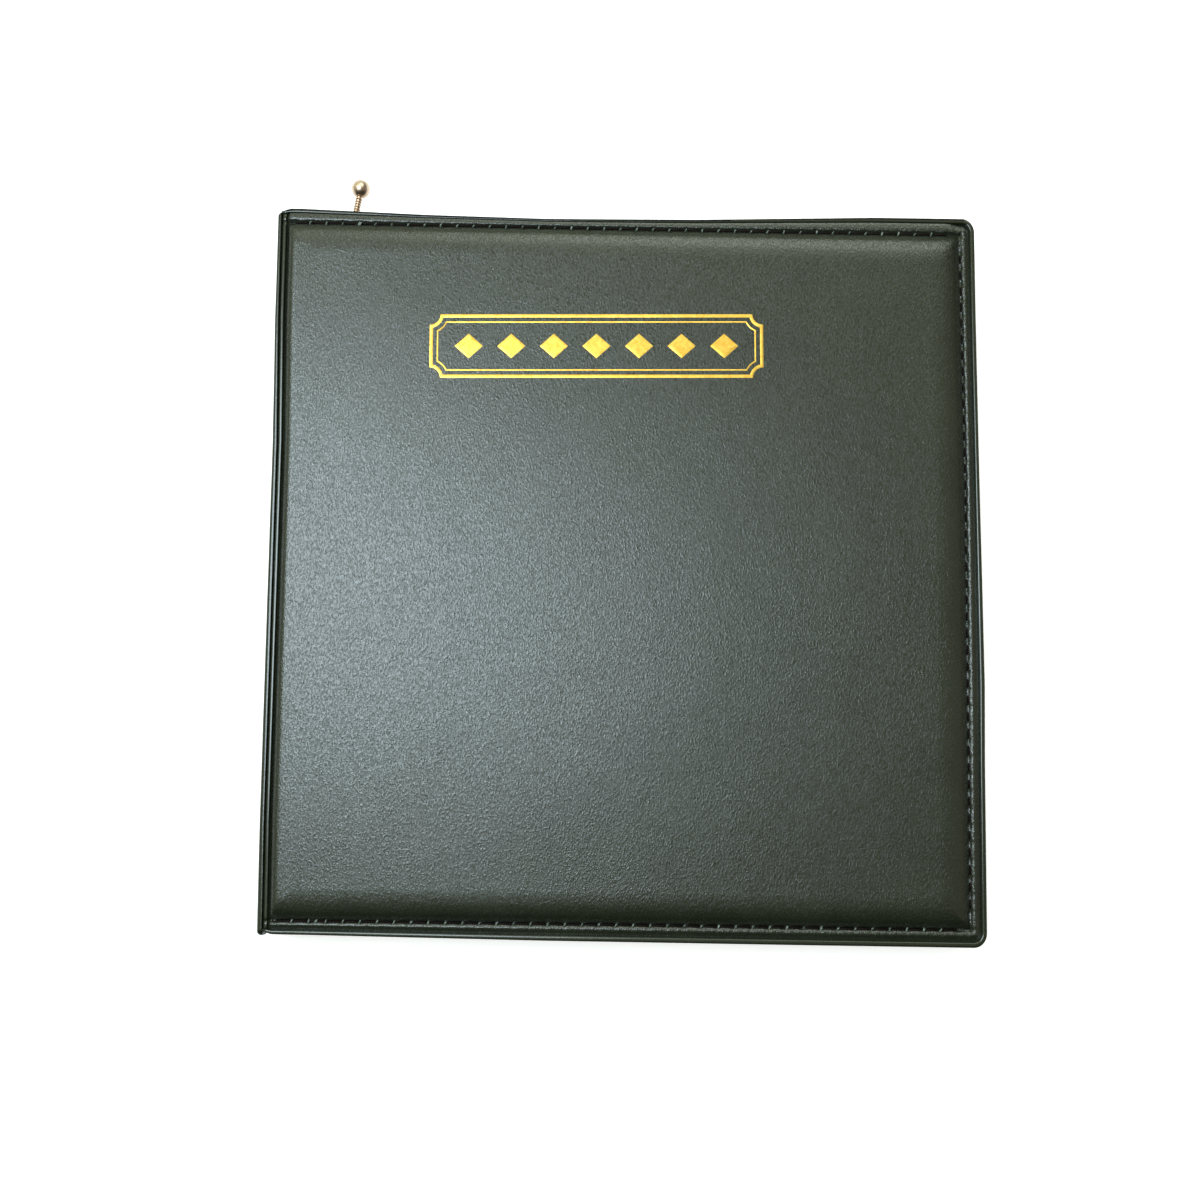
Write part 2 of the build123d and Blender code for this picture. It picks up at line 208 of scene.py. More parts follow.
# a window at the left, a broad light past the head edge and a weak warm one at the right, in metres and watts
lamps = dict(
    windowLight=dict(place=(-0.33, 0.12, 0.90), aim=(-0.13, 0.02, 0.0), size=(0.36, 0.66), power=6.5,
                     colour="#D9EBF6"),
    headLight=dict(place=(0.20, 0.95, 0.95), aim=(0.0, 0.0, 0.0), size=(1.0, 0.5), power=4.35,
                   colour="#F6FFF4"),
    sideLight=dict(place=(0.85, -0.05, 0.68), aim=(0.0, 0.0, 0.0), size=(0.9, 0.8), power=0.75,
                   colour="#FFF1DC"),
)
sky = dict(bright="#E2E8C4", dim="#171814", strength=1.0, brightSide=(-0.42, 0.50, 0.76), edge=(0.68, 1.0))
ground = dict(reach=4000.0, drop=-0.3, colour="#F4F4F2", lift=0.68, shine=0.3, near=0.3, far=1.6)


def softLight(name, place, aim, size, power, colour):
    lamp = bpy.data.lights.new(name, "AREA")
    lamp.shape = "RECTANGLE"
    lamp.size, lamp.size_y = size
    lamp.energy = power
    lamp.color = hexColour(colour)[:3]
    light = bpy.data.objects.new(name, lamp)
    light.location = place
    light.rotation_euler = (Vector(aim) - Vector(place)).to_track_quat("-Z", "Y").to_euler()
    scene.collection.objects.link(light)


for name, lamp in lamps.items():
    softLight(name, **lamp)

# the room's light comes mostly from one side; the camera itself sees plain white
world = bpy.data.worlds.new("studioRoom")
scene.world = world
world.use_nodes = True
tree = world.node_tree
tree.nodes.clear()
direction = addNode(tree, "ShaderNodeTexCoord").outputs["Generated"]
toward = addNode(tree, "ShaderNodeVectorMath", {0: direction, 1: Vector(sky["brightSide"]).normalized()},
                 operation="DOT_PRODUCT").outputs["Value"]
share = addNode(tree, "ShaderNodeMapRange", {"Value": toward, "From Min": -1.0})
tint = addNode(tree, "ShaderNodeValToRGB", {"Fac": share},
               stops=list(zip(sky["edge"], (sky["dim"], sky["bright"]))))
room = addNode(tree, "ShaderNodeBackground", {"Color": tint, "Strength": sky["strength"]})
white = addNode(tree, "ShaderNodeBackground", {"Color": (1, 1, 1, 1), "Strength": 1.0})
cameraRay = addNode(tree, "ShaderNodeLightPath").outputs["Is Camera Ray"]
seenSky = addNode(tree, "ShaderNodeMixShader", {0: cameraRay, 1: room, 2: white})
addNode(tree, "ShaderNodeOutputWorld", {"Surface": seenSky})

# White card floor: matt, lifted to clean white where the camera or a reflection sees it.
paperWhite, tree, shader = newMaterial("matt white card")
setInputs(tree, shader, {"Base Color": hexColour(ground["colour"]), "Roughness": 0.9,
                         "Specular IOR Level": 0.1})
path = addNode(tree, "ShaderNodeLightPath").outputs
shine = addNode(tree, "ShaderNodeMath", {0: path["Is Glossy Ray"], 1: ground["shine"]}, operation="MULTIPLY")
seen = addNode(tree, "ShaderNodeMath", {0: path["Is Camera Ray"], 1: shine}, operation="MAXIMUM")
seen = addNode(tree, "ShaderNodeMath", {0: seen, 1: path["Is Transmission Ray"]}, operation="MAXIMUM")
middle = addNode(tree, "ShaderNodeTexCoord").outputs["Object"]
away = addNode(tree, "ShaderNodeVectorMath", {0: middle}, operation="LENGTH").outputs["Value"]
farther = addNode(tree, "ShaderNodeMapRange",
                  {"Value": away, "From Min": ground["near"], "From Max": ground["far"],
                   "To Min": ground["lift"], "To Max": 1.0})
lift = addNode(tree, "ShaderNodeMath", {0: seen, 1: farther}, operation="MULTIPLY")
glow = addNode(tree, "ShaderNodeEmission", {"Color": (1, 1, 1, 1), "Strength": lift})
both = addNode(tree, "ShaderNodeAddShader", {0: shader, 1: glow})
setInputs(tree, tree.nodes["output"], {"Surface": both})

corners = ((-1, -1), (1, -1), (1, 1), (-1, 1))
square = [(x * ground["reach"], y * ground["reach"], ground["drop"]) for x, y in corners]
makePiece("floor", square, [(0, 1, 2, 3)], paperWhite, smooth=False)
print("camera, floor and lights set")


# materials

def restPlace(tree):
    # millimetre coordinates at rest, stored on each blended piece
    return addNode(tree, "ShaderNodeAttribute", attribute_name="restPlace").outputs["Vector"]


def objectPlace(tree, turn=0.0):
    # object coordinates in millimetres, turned in plan by some degrees
    place = addNode(tree, "ShaderNodeTexCoord").outputs["Object"]
    return addNode(tree, "ShaderNodeMapping", {"Vector": place, "Rotation": (0, 0, math.radians(turn)),
                   "Scale": (1 / mm,) * 3})


# Padded PVC leatherette, calendered and embossed: a satin dark green whose fine hair-cell grain
# breaks the window's reflection into pale grey mottling. Its rubbed rim has no grain and shines evenly.
vinyl = dict(deep="#151910", lit="#252B1F", grain=0.46, grainLong=1.0, grainLean=28, grainHeight=0.10,
             pebble=0.42, wave=14.0, hillRough=0.11, valleyRough=0.40, polished=0.15, specular=0.82)


def leatherette(name, stored):
    material, tree, shader = newMaterial(name)
    place = restPlace(tree) if stored else objectPlace(tree)
    slant = addNode(tree, "ShaderNodeMapping",
                    {"Vector": place, "Rotation": (0, 0, math.radians(-vinyl["grainLean"])),
                     "Scale": (1 / vinyl["grain"], 1 / vinyl["grainLong"], 1 / vinyl["grain"])})
    cell = addNode(tree, "ShaderNodeTexNoise",
                   {"Vector": slant, "Scale": 1.0, "Detail": 2.0, "Roughness": 0.55,
                    "Distortion": 0.6}).outputs["Fac"]
    pebble = addNode(tree, "ShaderNodeTexVoronoi", {"Vector": place, "Scale": 1 / vinyl["pebble"],
                     "Randomness": 0.9}, feature="SMOOTH_F1").outputs["Distance"]
    cloud = addNode(tree, "ShaderNodeTexNoise", {"Vector": place, "Scale": 1 / vinyl["wave"],
                    "Detail": 3.0}).outputs["Fac"]
    height = addNode(tree, "ShaderNodeMath", {0: pebble, 1: 0.5, 2: cell}, operation="MULTIPLY_ADD")
    tone = addNode(tree, "ShaderNodeMath", {0: cloud, 1: 0.6, 2: cell}, operation="MULTIPLY_ADD")
    colour = addNode(tree, "ShaderNodeValToRGB", {"Fac": tone},
                     stops=[(0.45, vinyl["deep"]), (1.0, vinyl["lit"])])
    rough = addNode(tree, "ShaderNodeMapRange", {"Value": cell, "From Min": 0.36, "From Max": 0.64,
                    "To Min": vinyl["valleyRough"], "To Max": vinyl["hillRough"]})
    rubbed = addNode(tree, "ShaderNodeAttribute", attribute_name="polish").outputs["Fac"]
    rough = addNode(tree, "ShaderNodeMix", {"Factor": rubbed, "A": rough, "B": vinyl["polished"]},
                    data_type="FLOAT")
    plain = addNode(tree, "ShaderNodeMath", {0: 1.0, 1: rubbed}, operation="SUBTRACT")
    height = addNode(tree, "ShaderNodeMath", {0: height, 1: plain}, operation="MULTIPLY")
    relief = addNode(tree, "ShaderNodeBump", {"Height": height, "Distance": vinyl["grainHeight"] * mm})
    setInputs(tree, shader, {"Base Color": colour, "Roughness": rough, "IOR": 1.5,
              "Specular IOR Level": vinyl["specular"], "Normal": relief})
    return material


coverVinyl = leatherette("embossed PVC leatherette", True)
pocketVinyl = leatherette("embossed PVC pocket sheet", False)

# a wave texture's bands lie this share of a unit apart at scale 1
bandShare = 1 / 3.14


# Bonded polyester sewing thread: dark maroon, a low sheen, twisted plies 0.5 mm apart.
def twistedThread(name, dark, pale, ply=0.5):
    material, tree, shader = newMaterial(name)
    plies = addNode(tree, "ShaderNodeTexWave", {"Vector": objectPlace(tree, 45), "Scale": bandShare / ply,
                    "Distortion": 0.6}, wave_type="BANDS", bands_direction="X").outputs["Fac"]
    colour = addNode(tree, "ShaderNodeValToRGB", {"Fac": plies}, stops=[(0.0, dark), (1.0, pale)])
    relief = addNode(tree, "ShaderNodeBump", {"Height": plies, "Distance": 0.08 * mm})
    setInputs(tree, shader, {"Base Color": colour, "Roughness": 0.6, "Specular IOR Level": 0.2,
                             "Normal": relief})
    return material


maroonThread = twistedThread("bonded polyester thread", "#080304", "#1C0B0E")


# Woven cloths: matt and plain-woven, their threads drawn as coarse as they need to be to show.
def wovenCloth(name, dark, pale, pitch=0.6, stored=False, rough=0.8, sheen=0.2):
    material, tree, shader = newMaterial(name)
    place = restPlace(tree) if stored else objectPlace(tree)
    warp, weft = (addNode(tree, "ShaderNodeTexWave", {"Vector": place, "Scale": bandShare / pitch},
                          wave_type="BANDS", bands_direction=way).outputs["Fac"] for way in "XY")
    weave = addNode(tree, "ShaderNodeMath", {0: warp, 1: weft}, operation="MULTIPLY")
    slub = addNode(tree, "ShaderNodeTexNoise", {"Vector": place, "Scale": 0.35, "Detail": 3.0}).outputs["Fac"]
    tone = addNode(tree, "ShaderNodeMath", {0: slub, 1: 0.5, 2: weave}, operation="MULTIPLY_ADD")
    colour = addNode(tree, "ShaderNodeValToRGB", {"Fac": tone}, stops=[(0.15, dark), (1.0, pale)])
    relief = addNode(tree, "ShaderNodeBump", {"Height": weave, "Distance": 0.06 * mm})
    setInputs(tree, shader, {"Base Color": colour, "Roughness": rough, "Sheen Weight": sheen,
              "Sheen Roughness": 0.4, "Normal": relief})
    return material


liningTaffeta = wovenCloth("woven nylon lining", "#171A18", "#2C312D", stored=True)
pouchCanvas = wovenCloth("cotton pouch cloth", "#1E2B20", "#37493A", pitch=0.8, sheen=0.35)
elasticBraid = wovenCloth("braided elastic", "#101112", "#2B2D2F", pitch=0.9, rough=0.7, stored=True)
bindingCloth = wovenCloth("bookbinding cloth tape", "#3A1418", "#5E242A", pitch=0.55, stored=True)


# Moulded plastics: even colour, satin skin with a faint spark-eroded texture 0.3 mm across.
def mouldedPlastic(name, colour, rough=0.38, texture=0.3, height=0.012):
    material, tree, shader = newMaterial(name)
    place = objectPlace(tree)
    grit = addNode(tree, "ShaderNodeTexNoise",
                   {"Vector": place, "Scale": 1 / texture, "Detail": 2.0}).outputs["Fac"]
    flow = addNode(tree, "ShaderNodeTexNoise", {"Vector": place, "Scale": 0.05, "Detail": 2.0}).outputs["Fac"]
    base = hexColour(colour)
    dim = tuple(c * 0.86 for c in base[:3]) + (1,)
    mix = addNode(tree, "ShaderNodeMix", {"Factor": flow, "A": dim, "B": base},
                  data_type="RGBA").outputs["Result"]
    wear = addNode(tree, "ShaderNodeMapRange", {"Value": flow, "From Min": 0.3, "From Max": 0.7,
                   "To Min": rough - 0.05, "To Max": rough + 0.08})
    relief = addNode(tree, "ShaderNodeBump", {"Height": grit, "Distance": height * mm})
    setInputs(tree, shader, {"Base Color": mix, "Roughness": wear, "IOR": 1.5, "Normal": relief})
    return material


rackPlastic = mouldedPlastic("moulded ABS, bottle green", "#1D3A2A")
boardPlastic = mouldedPlastic("moulded polystyrene, ivory", "#CFC7AE", rough=0.34)
trayPlastic = mouldedPlastic("vacuum-formed polystyrene, dark green", "#20352A")
tilePlastic = mouldedPlastic("moulded urea, ivory tile", "#DDD2B4", rough=0.30)
foamPlastic = mouldedPlastic("polyurethane foam sheet", "#B9B49C", rough=0.9, texture=0.8, height=0.2)
greyBoard = mouldedPlastic("greyboard stiffener", "#6E6A62", rough=0.85, texture=0.6, height=0.05)
padCard = mouldedPlastic("millboard backing", "#8C7A5E", rough=0.85, texture=0.7, height=0.04)


# Turned and plated metals: clear highlights, softened by the tool's faint rings, and slight tarnish.
def turnedMetal(name, colour, tarnish, rough, ring=0.25):
    material, tree, shader = newMaterial(name)
    place = objectPlace(tree, penTilt)
    rings = addNode(tree, "ShaderNodeTexWave",
                    {"Vector": place, "Scale": bandShare / ring, "Distortion": 0.4}, wave_type="BANDS",
                    bands_direction="Y").outputs["Fac"]
    stain = addNode(tree, "ShaderNodeTexNoise",
                    {"Vector": place, "Scale": 0.35, "Detail": 3.0}).outputs["Fac"]
    tone = addNode(tree, "ShaderNodeValToRGB", {"Fac": stain}, stops=[(0.35, tarnish), (0.6, colour)])
    relief = addNode(tree, "ShaderNodeBump", {"Height": rings, "Distance": 0.008 * mm})
    setInputs(tree, shader, {"Base Color": tone, "Metallic": 1.0, "Roughness": rough, "Normal": relief})
    return material


penBrass = turnedMetal("lacquered brass, rose gold", "#F3D8C3", "#DFC0A8", 0.34)
studMetal = turnedMetal("nickel-plated press stud", "#C9C6BE", "#9E9A90", 0.22)
refillBrass = turnedMetal("drawn brass refill tube", "#C9A860", "#96783C", 0.3)

# Hot-stamped gilt foil: bright yellow gold, its pressed face slightly crazed and worn through in specks.
gilt = dict(bright="#FFD364", deep="#F2B244", worn="#5B4A22", rough=0.34, craze=1.3, specks=2.2)


def stampedFoil(name):
    material, tree, shader = newMaterial(name)
    place = objectPlace(tree)
    craze = addNode(tree, "ShaderNodeTexNoise", {"Vector": place, "Scale": 1 / gilt["craze"], "Detail": 4.0,
                    "Distortion": 0.8}).outputs["Fac"]
    speck = addNode(tree, "ShaderNodeTexNoise", {"Vector": place, "Scale": 1 / gilt["specks"], "Detail": 5.0,
                    "Roughness": 0.7}).outputs["Fac"]
    colour = addNode(tree, "ShaderNodeValToRGB", {"Fac": craze},
                     stops=[(0.3, gilt["deep"]), (0.65, gilt["bright"])])
    worn = addNode(tree, "ShaderNodeValToRGB", {"Fac": speck}, stops=[(0.70, 0.0), (0.76, 0.8)])
    mix = addNode(tree, "ShaderNodeMix", {"Factor": worn, "A": colour, "B": hexColour(gilt["worn"])},
                  data_type="RGBA").outputs["Result"]
    relief = addNode(tree, "ShaderNodeBump", {"Height": craze, "Distance": 0.05 * mm})
    setInputs(tree, shader, {"Base Color": mix, "Metallic": 0.85, "Roughness": gilt["rough"],
                             "Normal": relief})
    return material


giltFoil = stampedFoil("hot-stamped gilt foil")

# Uncoated paper leaves: warm white, ruled in pale grey columns and rows on the top leaf.
ruling = dict(columns=7.0, rows=24.0, line=0.35, colour="#8FA0A6")


def ruledPaper(name, ruled):
    material, tree, shader = newMaterial(name)
    place = objectPlace(tree)
    fibre = addNode(tree, "ShaderNodeTexNoise", {"Vector": place, "Scale": 1.2, "Detail": 4.0}).outputs["Fac"]
    colour = addNode(tree, "ShaderNodeValToRGB", {"Fac": fibre}, stops=[(0.3, "#E9E5D8"), (0.7, "#F3F0E6")])
    if ruled:
        split = addNode(tree, "ShaderNodeSeparateXYZ", {0: place})
        lines = []
        for axis, pitch in (("X", ruling["columns"]), ("Y", ruling["rows"])):
            ratio = addNode(tree, "ShaderNodeMath", {0: split.outputs[axis], 1: pitch}, operation="DIVIDE")
            part = addNode(tree, "ShaderNodeMath", {0: ratio}, operation="FRACT")
            lines.append(addNode(tree, "ShaderNodeMath", {0: part, 1: ruling["line"] / pitch},
                                 operation="LESS_THAN"))
        either = addNode(tree, "ShaderNodeMath", dict(enumerate(lines)), operation="MAXIMUM")
        colour = addNode(tree, "ShaderNodeMix",
                         {"Factor": either, "A": colour, "B": hexColour(ruling["colour"])},
                         data_type="RGBA").outputs["Result"]
    relief = addNode(tree, "ShaderNodeBump", {"Height": fibre, "Distance": 0.02 * mm})
    setInputs(tree, shader, {"Base Color": colour, "Roughness": 0.8, "Normal": relief})
    return material


padPaper = ruledPaper("uncoated paper leaf", False)
padRuled = ruledPaper("uncoated paper leaf, ruled", True)

# Printed board sheet: two soft alternating tones in the cells, offset-printed and satin.
board = dict(cells=15, border=4.1, rib=0.8, green="#BFC8AE", cream="#D9D2B8")


def checkerPrint(name):
    material, tree, shader = newMaterial(name)
    low, high = boxOf("board_grid")
    pitch = (high[0] - low[0] - 2 * board["border"] - board["rib"]) / board["cells"]
    start = low + board["border"] + board["rib"] / 2
    place = addNode(tree, "ShaderNodeTexCoord").outputs["Object"]
    cells = addNode(tree, "ShaderNodeMapping", {"Vector": place, "Scale": (1 / mm / pitch, 1 / mm / pitch, 0),
                    "Location": (-start[0] / pitch, -start[1] / pitch, 0.5)})
    check = addNode(tree, "ShaderNodeTexChecker",
                    {"Vector": cells, "Scale": 1.0, "Color1": hexColour(board["green"]),
                     "Color2": hexColour(board["cream"])}).outputs["Color"]
    ink = addNode(tree, "ShaderNodeTexNoise", {"Vector": place, "Scale": 900.0, "Detail": 3.0})
    mix = addNode(tree, "ShaderNodeMix", {"Factor": 0.12, "A": check, "B": ink.outputs["Color"]},
                  data_type="RGBA", blend_type="OVERLAY").outputs["Result"]
    relief = addNode(tree, "ShaderNodeBump", {"Height": ink.outputs["Fac"], "Distance": 0.01 * mm})
    setInputs(tree, shader, {"Base Color": mix, "Roughness": 0.45, "Normal": relief})
    return material


boardPrint = checkerPrint("offset-printed board sheet")


def mottledSkin(name, stored, dark, pale, scale, rough, specular=0.5):
    # a plain surface with two soft tones; dark and pale are a stop's place and colour
    material, tree, shader = newMaterial(name)
    place = restPlace(tree) if stored else objectPlace(tree)
    tone = addNode(tree, "ShaderNodeTexNoise",
                   {"Vector": place, "Scale": scale, "Detail": 3.0}).outputs["Fac"]
    colour = addNode(tree, "ShaderNodeValToRGB", {"Fac": tone}, stops=[dark, pale])
    setInputs(tree, shader, {"Base Color": colour, "Roughness": rough, "Specular IOR Level": specular})
    return material


# Vinyl drawn up between two needle holes: the cover's own sheet with its grain pulled flat; its pale grey
# colour is a painted highlight where the pinched ridges catch the light.
paintedHighlightVinyl = mottledSkin("PVC leatherette, painted highlight", False, (0.35, "#4C584E"),
                           (0.65, "#9BA79D"), 0.8, 0.42)

# Painted shade: a matt black put on the front cover's cut head edge, where the bead's outer flank faces away
# from the light, and into the empty needle holes.
paintedShadeBlack = mottledSkin("black painted shade", True, (0.35, "#07090A"), (0.70, "#15181A"), 0.9, 0.55, 0.15)
print("materials made:", len(bpy.data.materials))


# padded covers

# sizes of a cover in millimetres, as insets from its edges, depths below its crown or places along x
cover = dict(beadWidth=1.55, beadTop=2.2, beadFoot=2.9, footStep=0.35, innerStep=0.45, marginDepth=3.2,
             innerDepth=4.0, skin=0.8, skinLeast=0.25, seamInset=4.6, fieldInset=5.0, fieldStart=-108.05,
             fieldFoot=3.35, roll=7.5, spineRun=3.0, mitre=3.0, ridge=(-109.75, -108.75), ridgeTop=2.4,
             rib=-108.4, ribHeight=0.45, ribWidth=0.17, crease=-110.5, creaseDepth=0.5, creaseWidth=0.3,
             seamCut=0.30, cutWidth=0.42, puckerDepth=0.38, puckerWidth=0.6, holeWidth=0.8, lip=0.16,
             lipInset=3.4, fieldPucker=0.34, puckerReach=1.5, unevenness=0.10, broadWave=34, smallWave=11,
             stitchPitch=5.25, seamEnd=3.0, cornerRadius=4.0, spineCorner=1.5, shadedEdgeWidth=0.62)
clear = 9.0   # a depth below every real part of the surface
# the sewn margin slopes down from the seam to the bead: inset and depth
margin = ([1.55, 1.8, 2.4, 2.8, 3.2, 3.6, 4.0, 4.4, 4.7, 5.1],
          [3.35, 3.28, 3.15, 3.02, 2.88, 2.88, 2.94, 3.02, 3.22, 3.34])
headMargin = ([1.55, 1.8, 2.4, 3.0, 3.4, 3.75, 4.1, 4.5, 4.75, 5.1],
              [2.60, 2.60, 2.58, 2.58, 2.60, 2.65, 2.73, 2.95, 3.22, 3.34])

# how far the outer edges and the seam of the front cover wander from straight: place and shift
headEdge = ([-112, -104, -65, -26, 22, 80, 112], [1.2, 1.15, -0.4, -1.3, -1.05, 0.3, 0.2])
headSeam = ([-112, 0, 112], [1.4, 0.4, -0.45])
tailEdge = ([-112, -97, -23, 51, 112], [0.9, 0.8, -0.1, -0.5, -0.75])
tailSeam = ([-112, 0, 112], [0.4, 0.3, -0.15])
foreEdge = ([-115, -60, -35, 0, 30, 85, 115], [1.0, 1.1, 1.4, 1.0, 0.6, 0.1, 0.0])
foreSeam = ([-115, -100, 30, 115], [0.8, 0.8, 1.0, 0.0])
spineEdge = ([-115, -80, 40, 80, 115], [0.5, 0.0, 0.0, -0.8, -0.9])
wanderReach = dict(field=60, spine=40)

seamY, seamX = halfHeight - cover["seamInset"], halfWidth - cover["seamInset"]
seamStart = hingeX + 3.2
seamStop = seamX - cover["seamEnd"]
middleX = (seamStart + seamStop) / 2


def wander(curve, place):
    return np.interp(place, *curve)


def wanderedPlace(x, y, amount):
    # moves the front cover's straight outline to the real, slightly wavy one
    outer = np.clip((np.abs(y) - seamY) / cover["seamInset"], 0, 1)
    inner = smoothStep(seamY - wanderReach["field"], seamY, np.abs(y))
    head = np.where(y > 0, wander(headSeam, x), wander(tailSeam, x)) * (1 - outer)
    head = head + np.where(y > 0, wander(headEdge, x), wander(tailEdge, x)) * outer
    outerX = np.clip((x - seamX) / cover["seamInset"], 0, 1)
    side = wander(foreSeam, y) * (1 - outerX) + wander(foreEdge, y) * outerX
    side = side * smoothStep(seamX - wanderReach["field"], seamX, x)
    side = side + wander(spineEdge, y) * (1 - smoothStep(-halfWidth, -halfWidth + wanderReach["spine"], x))
    end = cover["spineCorner"] * 0.5 * (1 - smoothStep(-halfWidth + 1.5, -halfWidth + 5, x))
    end = end * smoothStep(halfHeight - 2.5, halfHeight, np.abs(y))
    return x + amount * side, y + amount * head * inner - np.sign(y) * end


def stitchRun(length):
    # how many stitches fit in a seam, and the place of the first one from its middle
    count = int(length / cover["stitchPitch"])
    return count, -(count - 1) * cover["stitchPitch"] / 2


headCount, headFirst = stitchRun(seamStop - seamStart)
foreCount, foreFirst = stitchRun(2 * (seamY - cover["seamEnd"]))


def roundedInset(a, b, radius):
    # distance inside a rounded corner, from the distances to its two edges
    inCorner = (a < radius) & (b < radius)
    return np.where(inCorner, radius - np.hypot(radius - a, radius - b), np.minimum(a, b))


def beadDepth(x, q):
    # the rim's flat-topped bead, with a step down where it meets the hinge ridge
    half = cover["beadWidth"] / 2
    arch = np.clip(1 - np.abs((q - half) / half) ** 5, 0, 1) ** (1 / 2.4)
    foot = cover["beadFoot"] + cover["footStep"] * smoothStep(half, 2 * half, q)
    bead = np.where(q > cover["beadWidth"], clear, foot - (foot - cover["beadTop"]) * arch)
    return bead + cover["innerStep"] * bell(x - cover["ridge"][0] + 0.35, 0.4)


def ridgeDepth(x, b):
    # the flat-topped ridge beside the hinge, and a fine rib next to it
    low, high = cover["ridge"]
    t = (x - (low + high) / 2) / ((high - low) / 2)
    rise = np.sqrt(np.clip(1 - t ** 6, 0, 1)) * (cover["marginDepth"] - cover["ridgeTop"])
    rise = rise + cover["ribHeight"] * bell(x - cover["rib"], cover["ribWidth"])
    rise = rise * smoothStep(0.9, 2.2, b)
    return np.where(x < cover["rib"] + 0.3, cover["marginDepth"] - np.maximum(rise, 0), clear)


def fromHole(x, y, a, b):
    # distance along the nearest seam from its nearest needle hole
    pitch = cover["stitchPitch"]
    alongHead = np.abs((x - middleX - headFirst) / pitch % 1 - 0.5) * pitch
    alongFore = np.abs((y - foreFirst) / pitch % 1 - 0.5) * pitch
    return np.where(b < a, alongHead, alongFore)


def skinDepth(x, y):
    # how far the outer surface lies below the cover's crown, at a place on the straight outline
    a, b = halfWidth - x, halfHeight - np.abs(y)
    line = np.minimum(a, b)
    q = roundedInset(a, b, cover["cornerRadius"])
    atHead = smoothStep(4, 9, a) * (y > 0)
    depth = np.interp(q, *margin) * (1 - atHead) + np.interp(q, *headMargin) * atHead
    depth = np.where(x < cover["ridge"][1] + 1.0, np.maximum(depth, cover["marginDepth"]), depth)
    depth = np.minimum(depth, ridgeDepth(x, b))
    depth = depth + cover["creaseDepth"] * bell(x - cover["crease"], cover["creaseWidth"])
    # seam: a fine cut beside the threads, and a dip with a raised lip at each hole
    hole = fromHole(x, y, a, b)
    near = smoothStep(seamStart - 4, seamStart, x)
    pinched = bell(hole, cover["holeWidth"])
    depth = depth + cover["seamCut"] * bell(line - cover["seamInset"], cover["cutWidth"])
    pucker = pinched * bell(line - cover["seamInset"] + 0.1, cover["puckerWidth"])
    depth = depth + near * cover["puckerDepth"] * pucker
    depth = depth - near * cover["lip"] * bell(hole - 1.3, 0.9) * bell(line - cover["lipInset"], 0.7)
    # padded field rolling down to the seam on three sides, and gently down to the ridge on the fourth
    sides = []
    for inset in (a, b):
        inside = inset - cover["fieldInset"]
        drawn = near * cover["fieldPucker"] * pinched * bell(np.clip(inside, 0, 9), cover["puckerReach"])
        sides.append(cover["fieldFoot"] * quarterRound(inside / cover["roll"]) + drawn)
    sides.append(cover["marginDepth"] * quarterRound((x - cover["fieldStart"]) / cover["spineRun"]))
    power = cover["mitre"]
    field = sum(np.maximum(side, 0) ** power for side in sides) ** (1 / power)
    inField = (line > cover["fieldInset"]) & (x > cover["fieldStart"])
    return np.minimum(np.where(inField, np.minimum(depth, field), depth), beadDepth(x, q))


def skinPolish(x, y):
    # the rim bead and the ridge are rubbed smooth
    q = roundedInset(halfWidth - x, halfHeight - np.abs(y), cover["cornerRadius"])
    rim = 1 - smoothStep(1.3, 2.2, q)
    return np.maximum(rim, 1 - smoothStep(cover["ridge"][1], cover["ridge"][1] + 0.8, x))


def coverLines():
    # columns across the cover and rows along it, fine over the bead, the seam and the ridge;
    # the middle runs have a count that is a multiple of four
    insets = [0, 0.05, 0.15, 0.32, 0.6, 0.95, 1.22, 1.4, 1.5, 1.56, 1.8, 2.2, 2.7, 3.2, 3.7, 4.05, 4.3,
              4.55, 4.8, 5.05, 5.25, 5.5, 5.85, 6.3, 7.0, 8.0]
    low, high = cover["ridge"]
    centre = (low + high) / 2
    spineSide = [cover["crease"] + v for v in (0.05, 0.25, 0.5)] + [low + v for v in (-0.08, 0.02, 0.12, 0.3)]
    spineSide += [centre - 0.15, centre + 0.15] + [high + v for v in (-0.25, -0.12, -0.02, 0.08)]
    spineSide += [cover["rib"] + v for v in (-0.17, -0.08, 0, 0.08, 0.18)]
    spineSide += [-107.95, -107.75, -107.45, -107.0, -106.5, -106.0, -105.4, -104.8, -104.2, -103.4]
    step = cover["stitchPitch"] / 6

    def middle(start, stop):
        count = int(round((stop - start) / step / 4)) * 4
        return list(np.linspace(start, stop, count + 1)[1:-1])

    foreSide = [halfWidth - i for i in reversed(insets)]
    columns = spineSide + middle(spineSide[-1], foreSide[0]) + foreSide
    edge = [i - halfHeight for i in insets]
    rows = edge + middle(edge[-1], -edge[-1]) + [-v for v in reversed(edge)]
    return np.array(columns), np.array(rows), len(spineSide), len(insets)


def bentCorner(a, b, radius, size):
    # insets from two edges of a square grid, bent round their shared corner
    q, other = np.minimum(a, b), np.maximum(a, b)
    inside = (a < size) & (b < size)
    r = np.clip(radius - q, 1e-6, None)
    leg = size - q
    total = leg - r + r * math.pi / 4
    run = np.where(leg > 1e-9, (size - other) / np.maximum(leg, 1e-9), 0) * total
    straight = run <= leg - r
    angle = np.clip((run - leg + r) / r, 0, math.pi / 4)
    near = np.where(straight, q, q + r - r * np.cos(angle))
    far = np.where(straight, size - run, q + r - r * np.sin(angle))
    return np.where(inside, np.where(a <= b, near, far), a), np.where(inside, np.where(a <= b, far, near), b)


def cornerPlace(x, y):
    # bends the square grid round the two fore-edge corners of a cover
    a, b = bentCorner(halfWidth - x, halfHeight - np.abs(y), cover["cornerRadius"], 9.0)
    return halfWidth - a, np.sign(y) * (halfHeight - b)


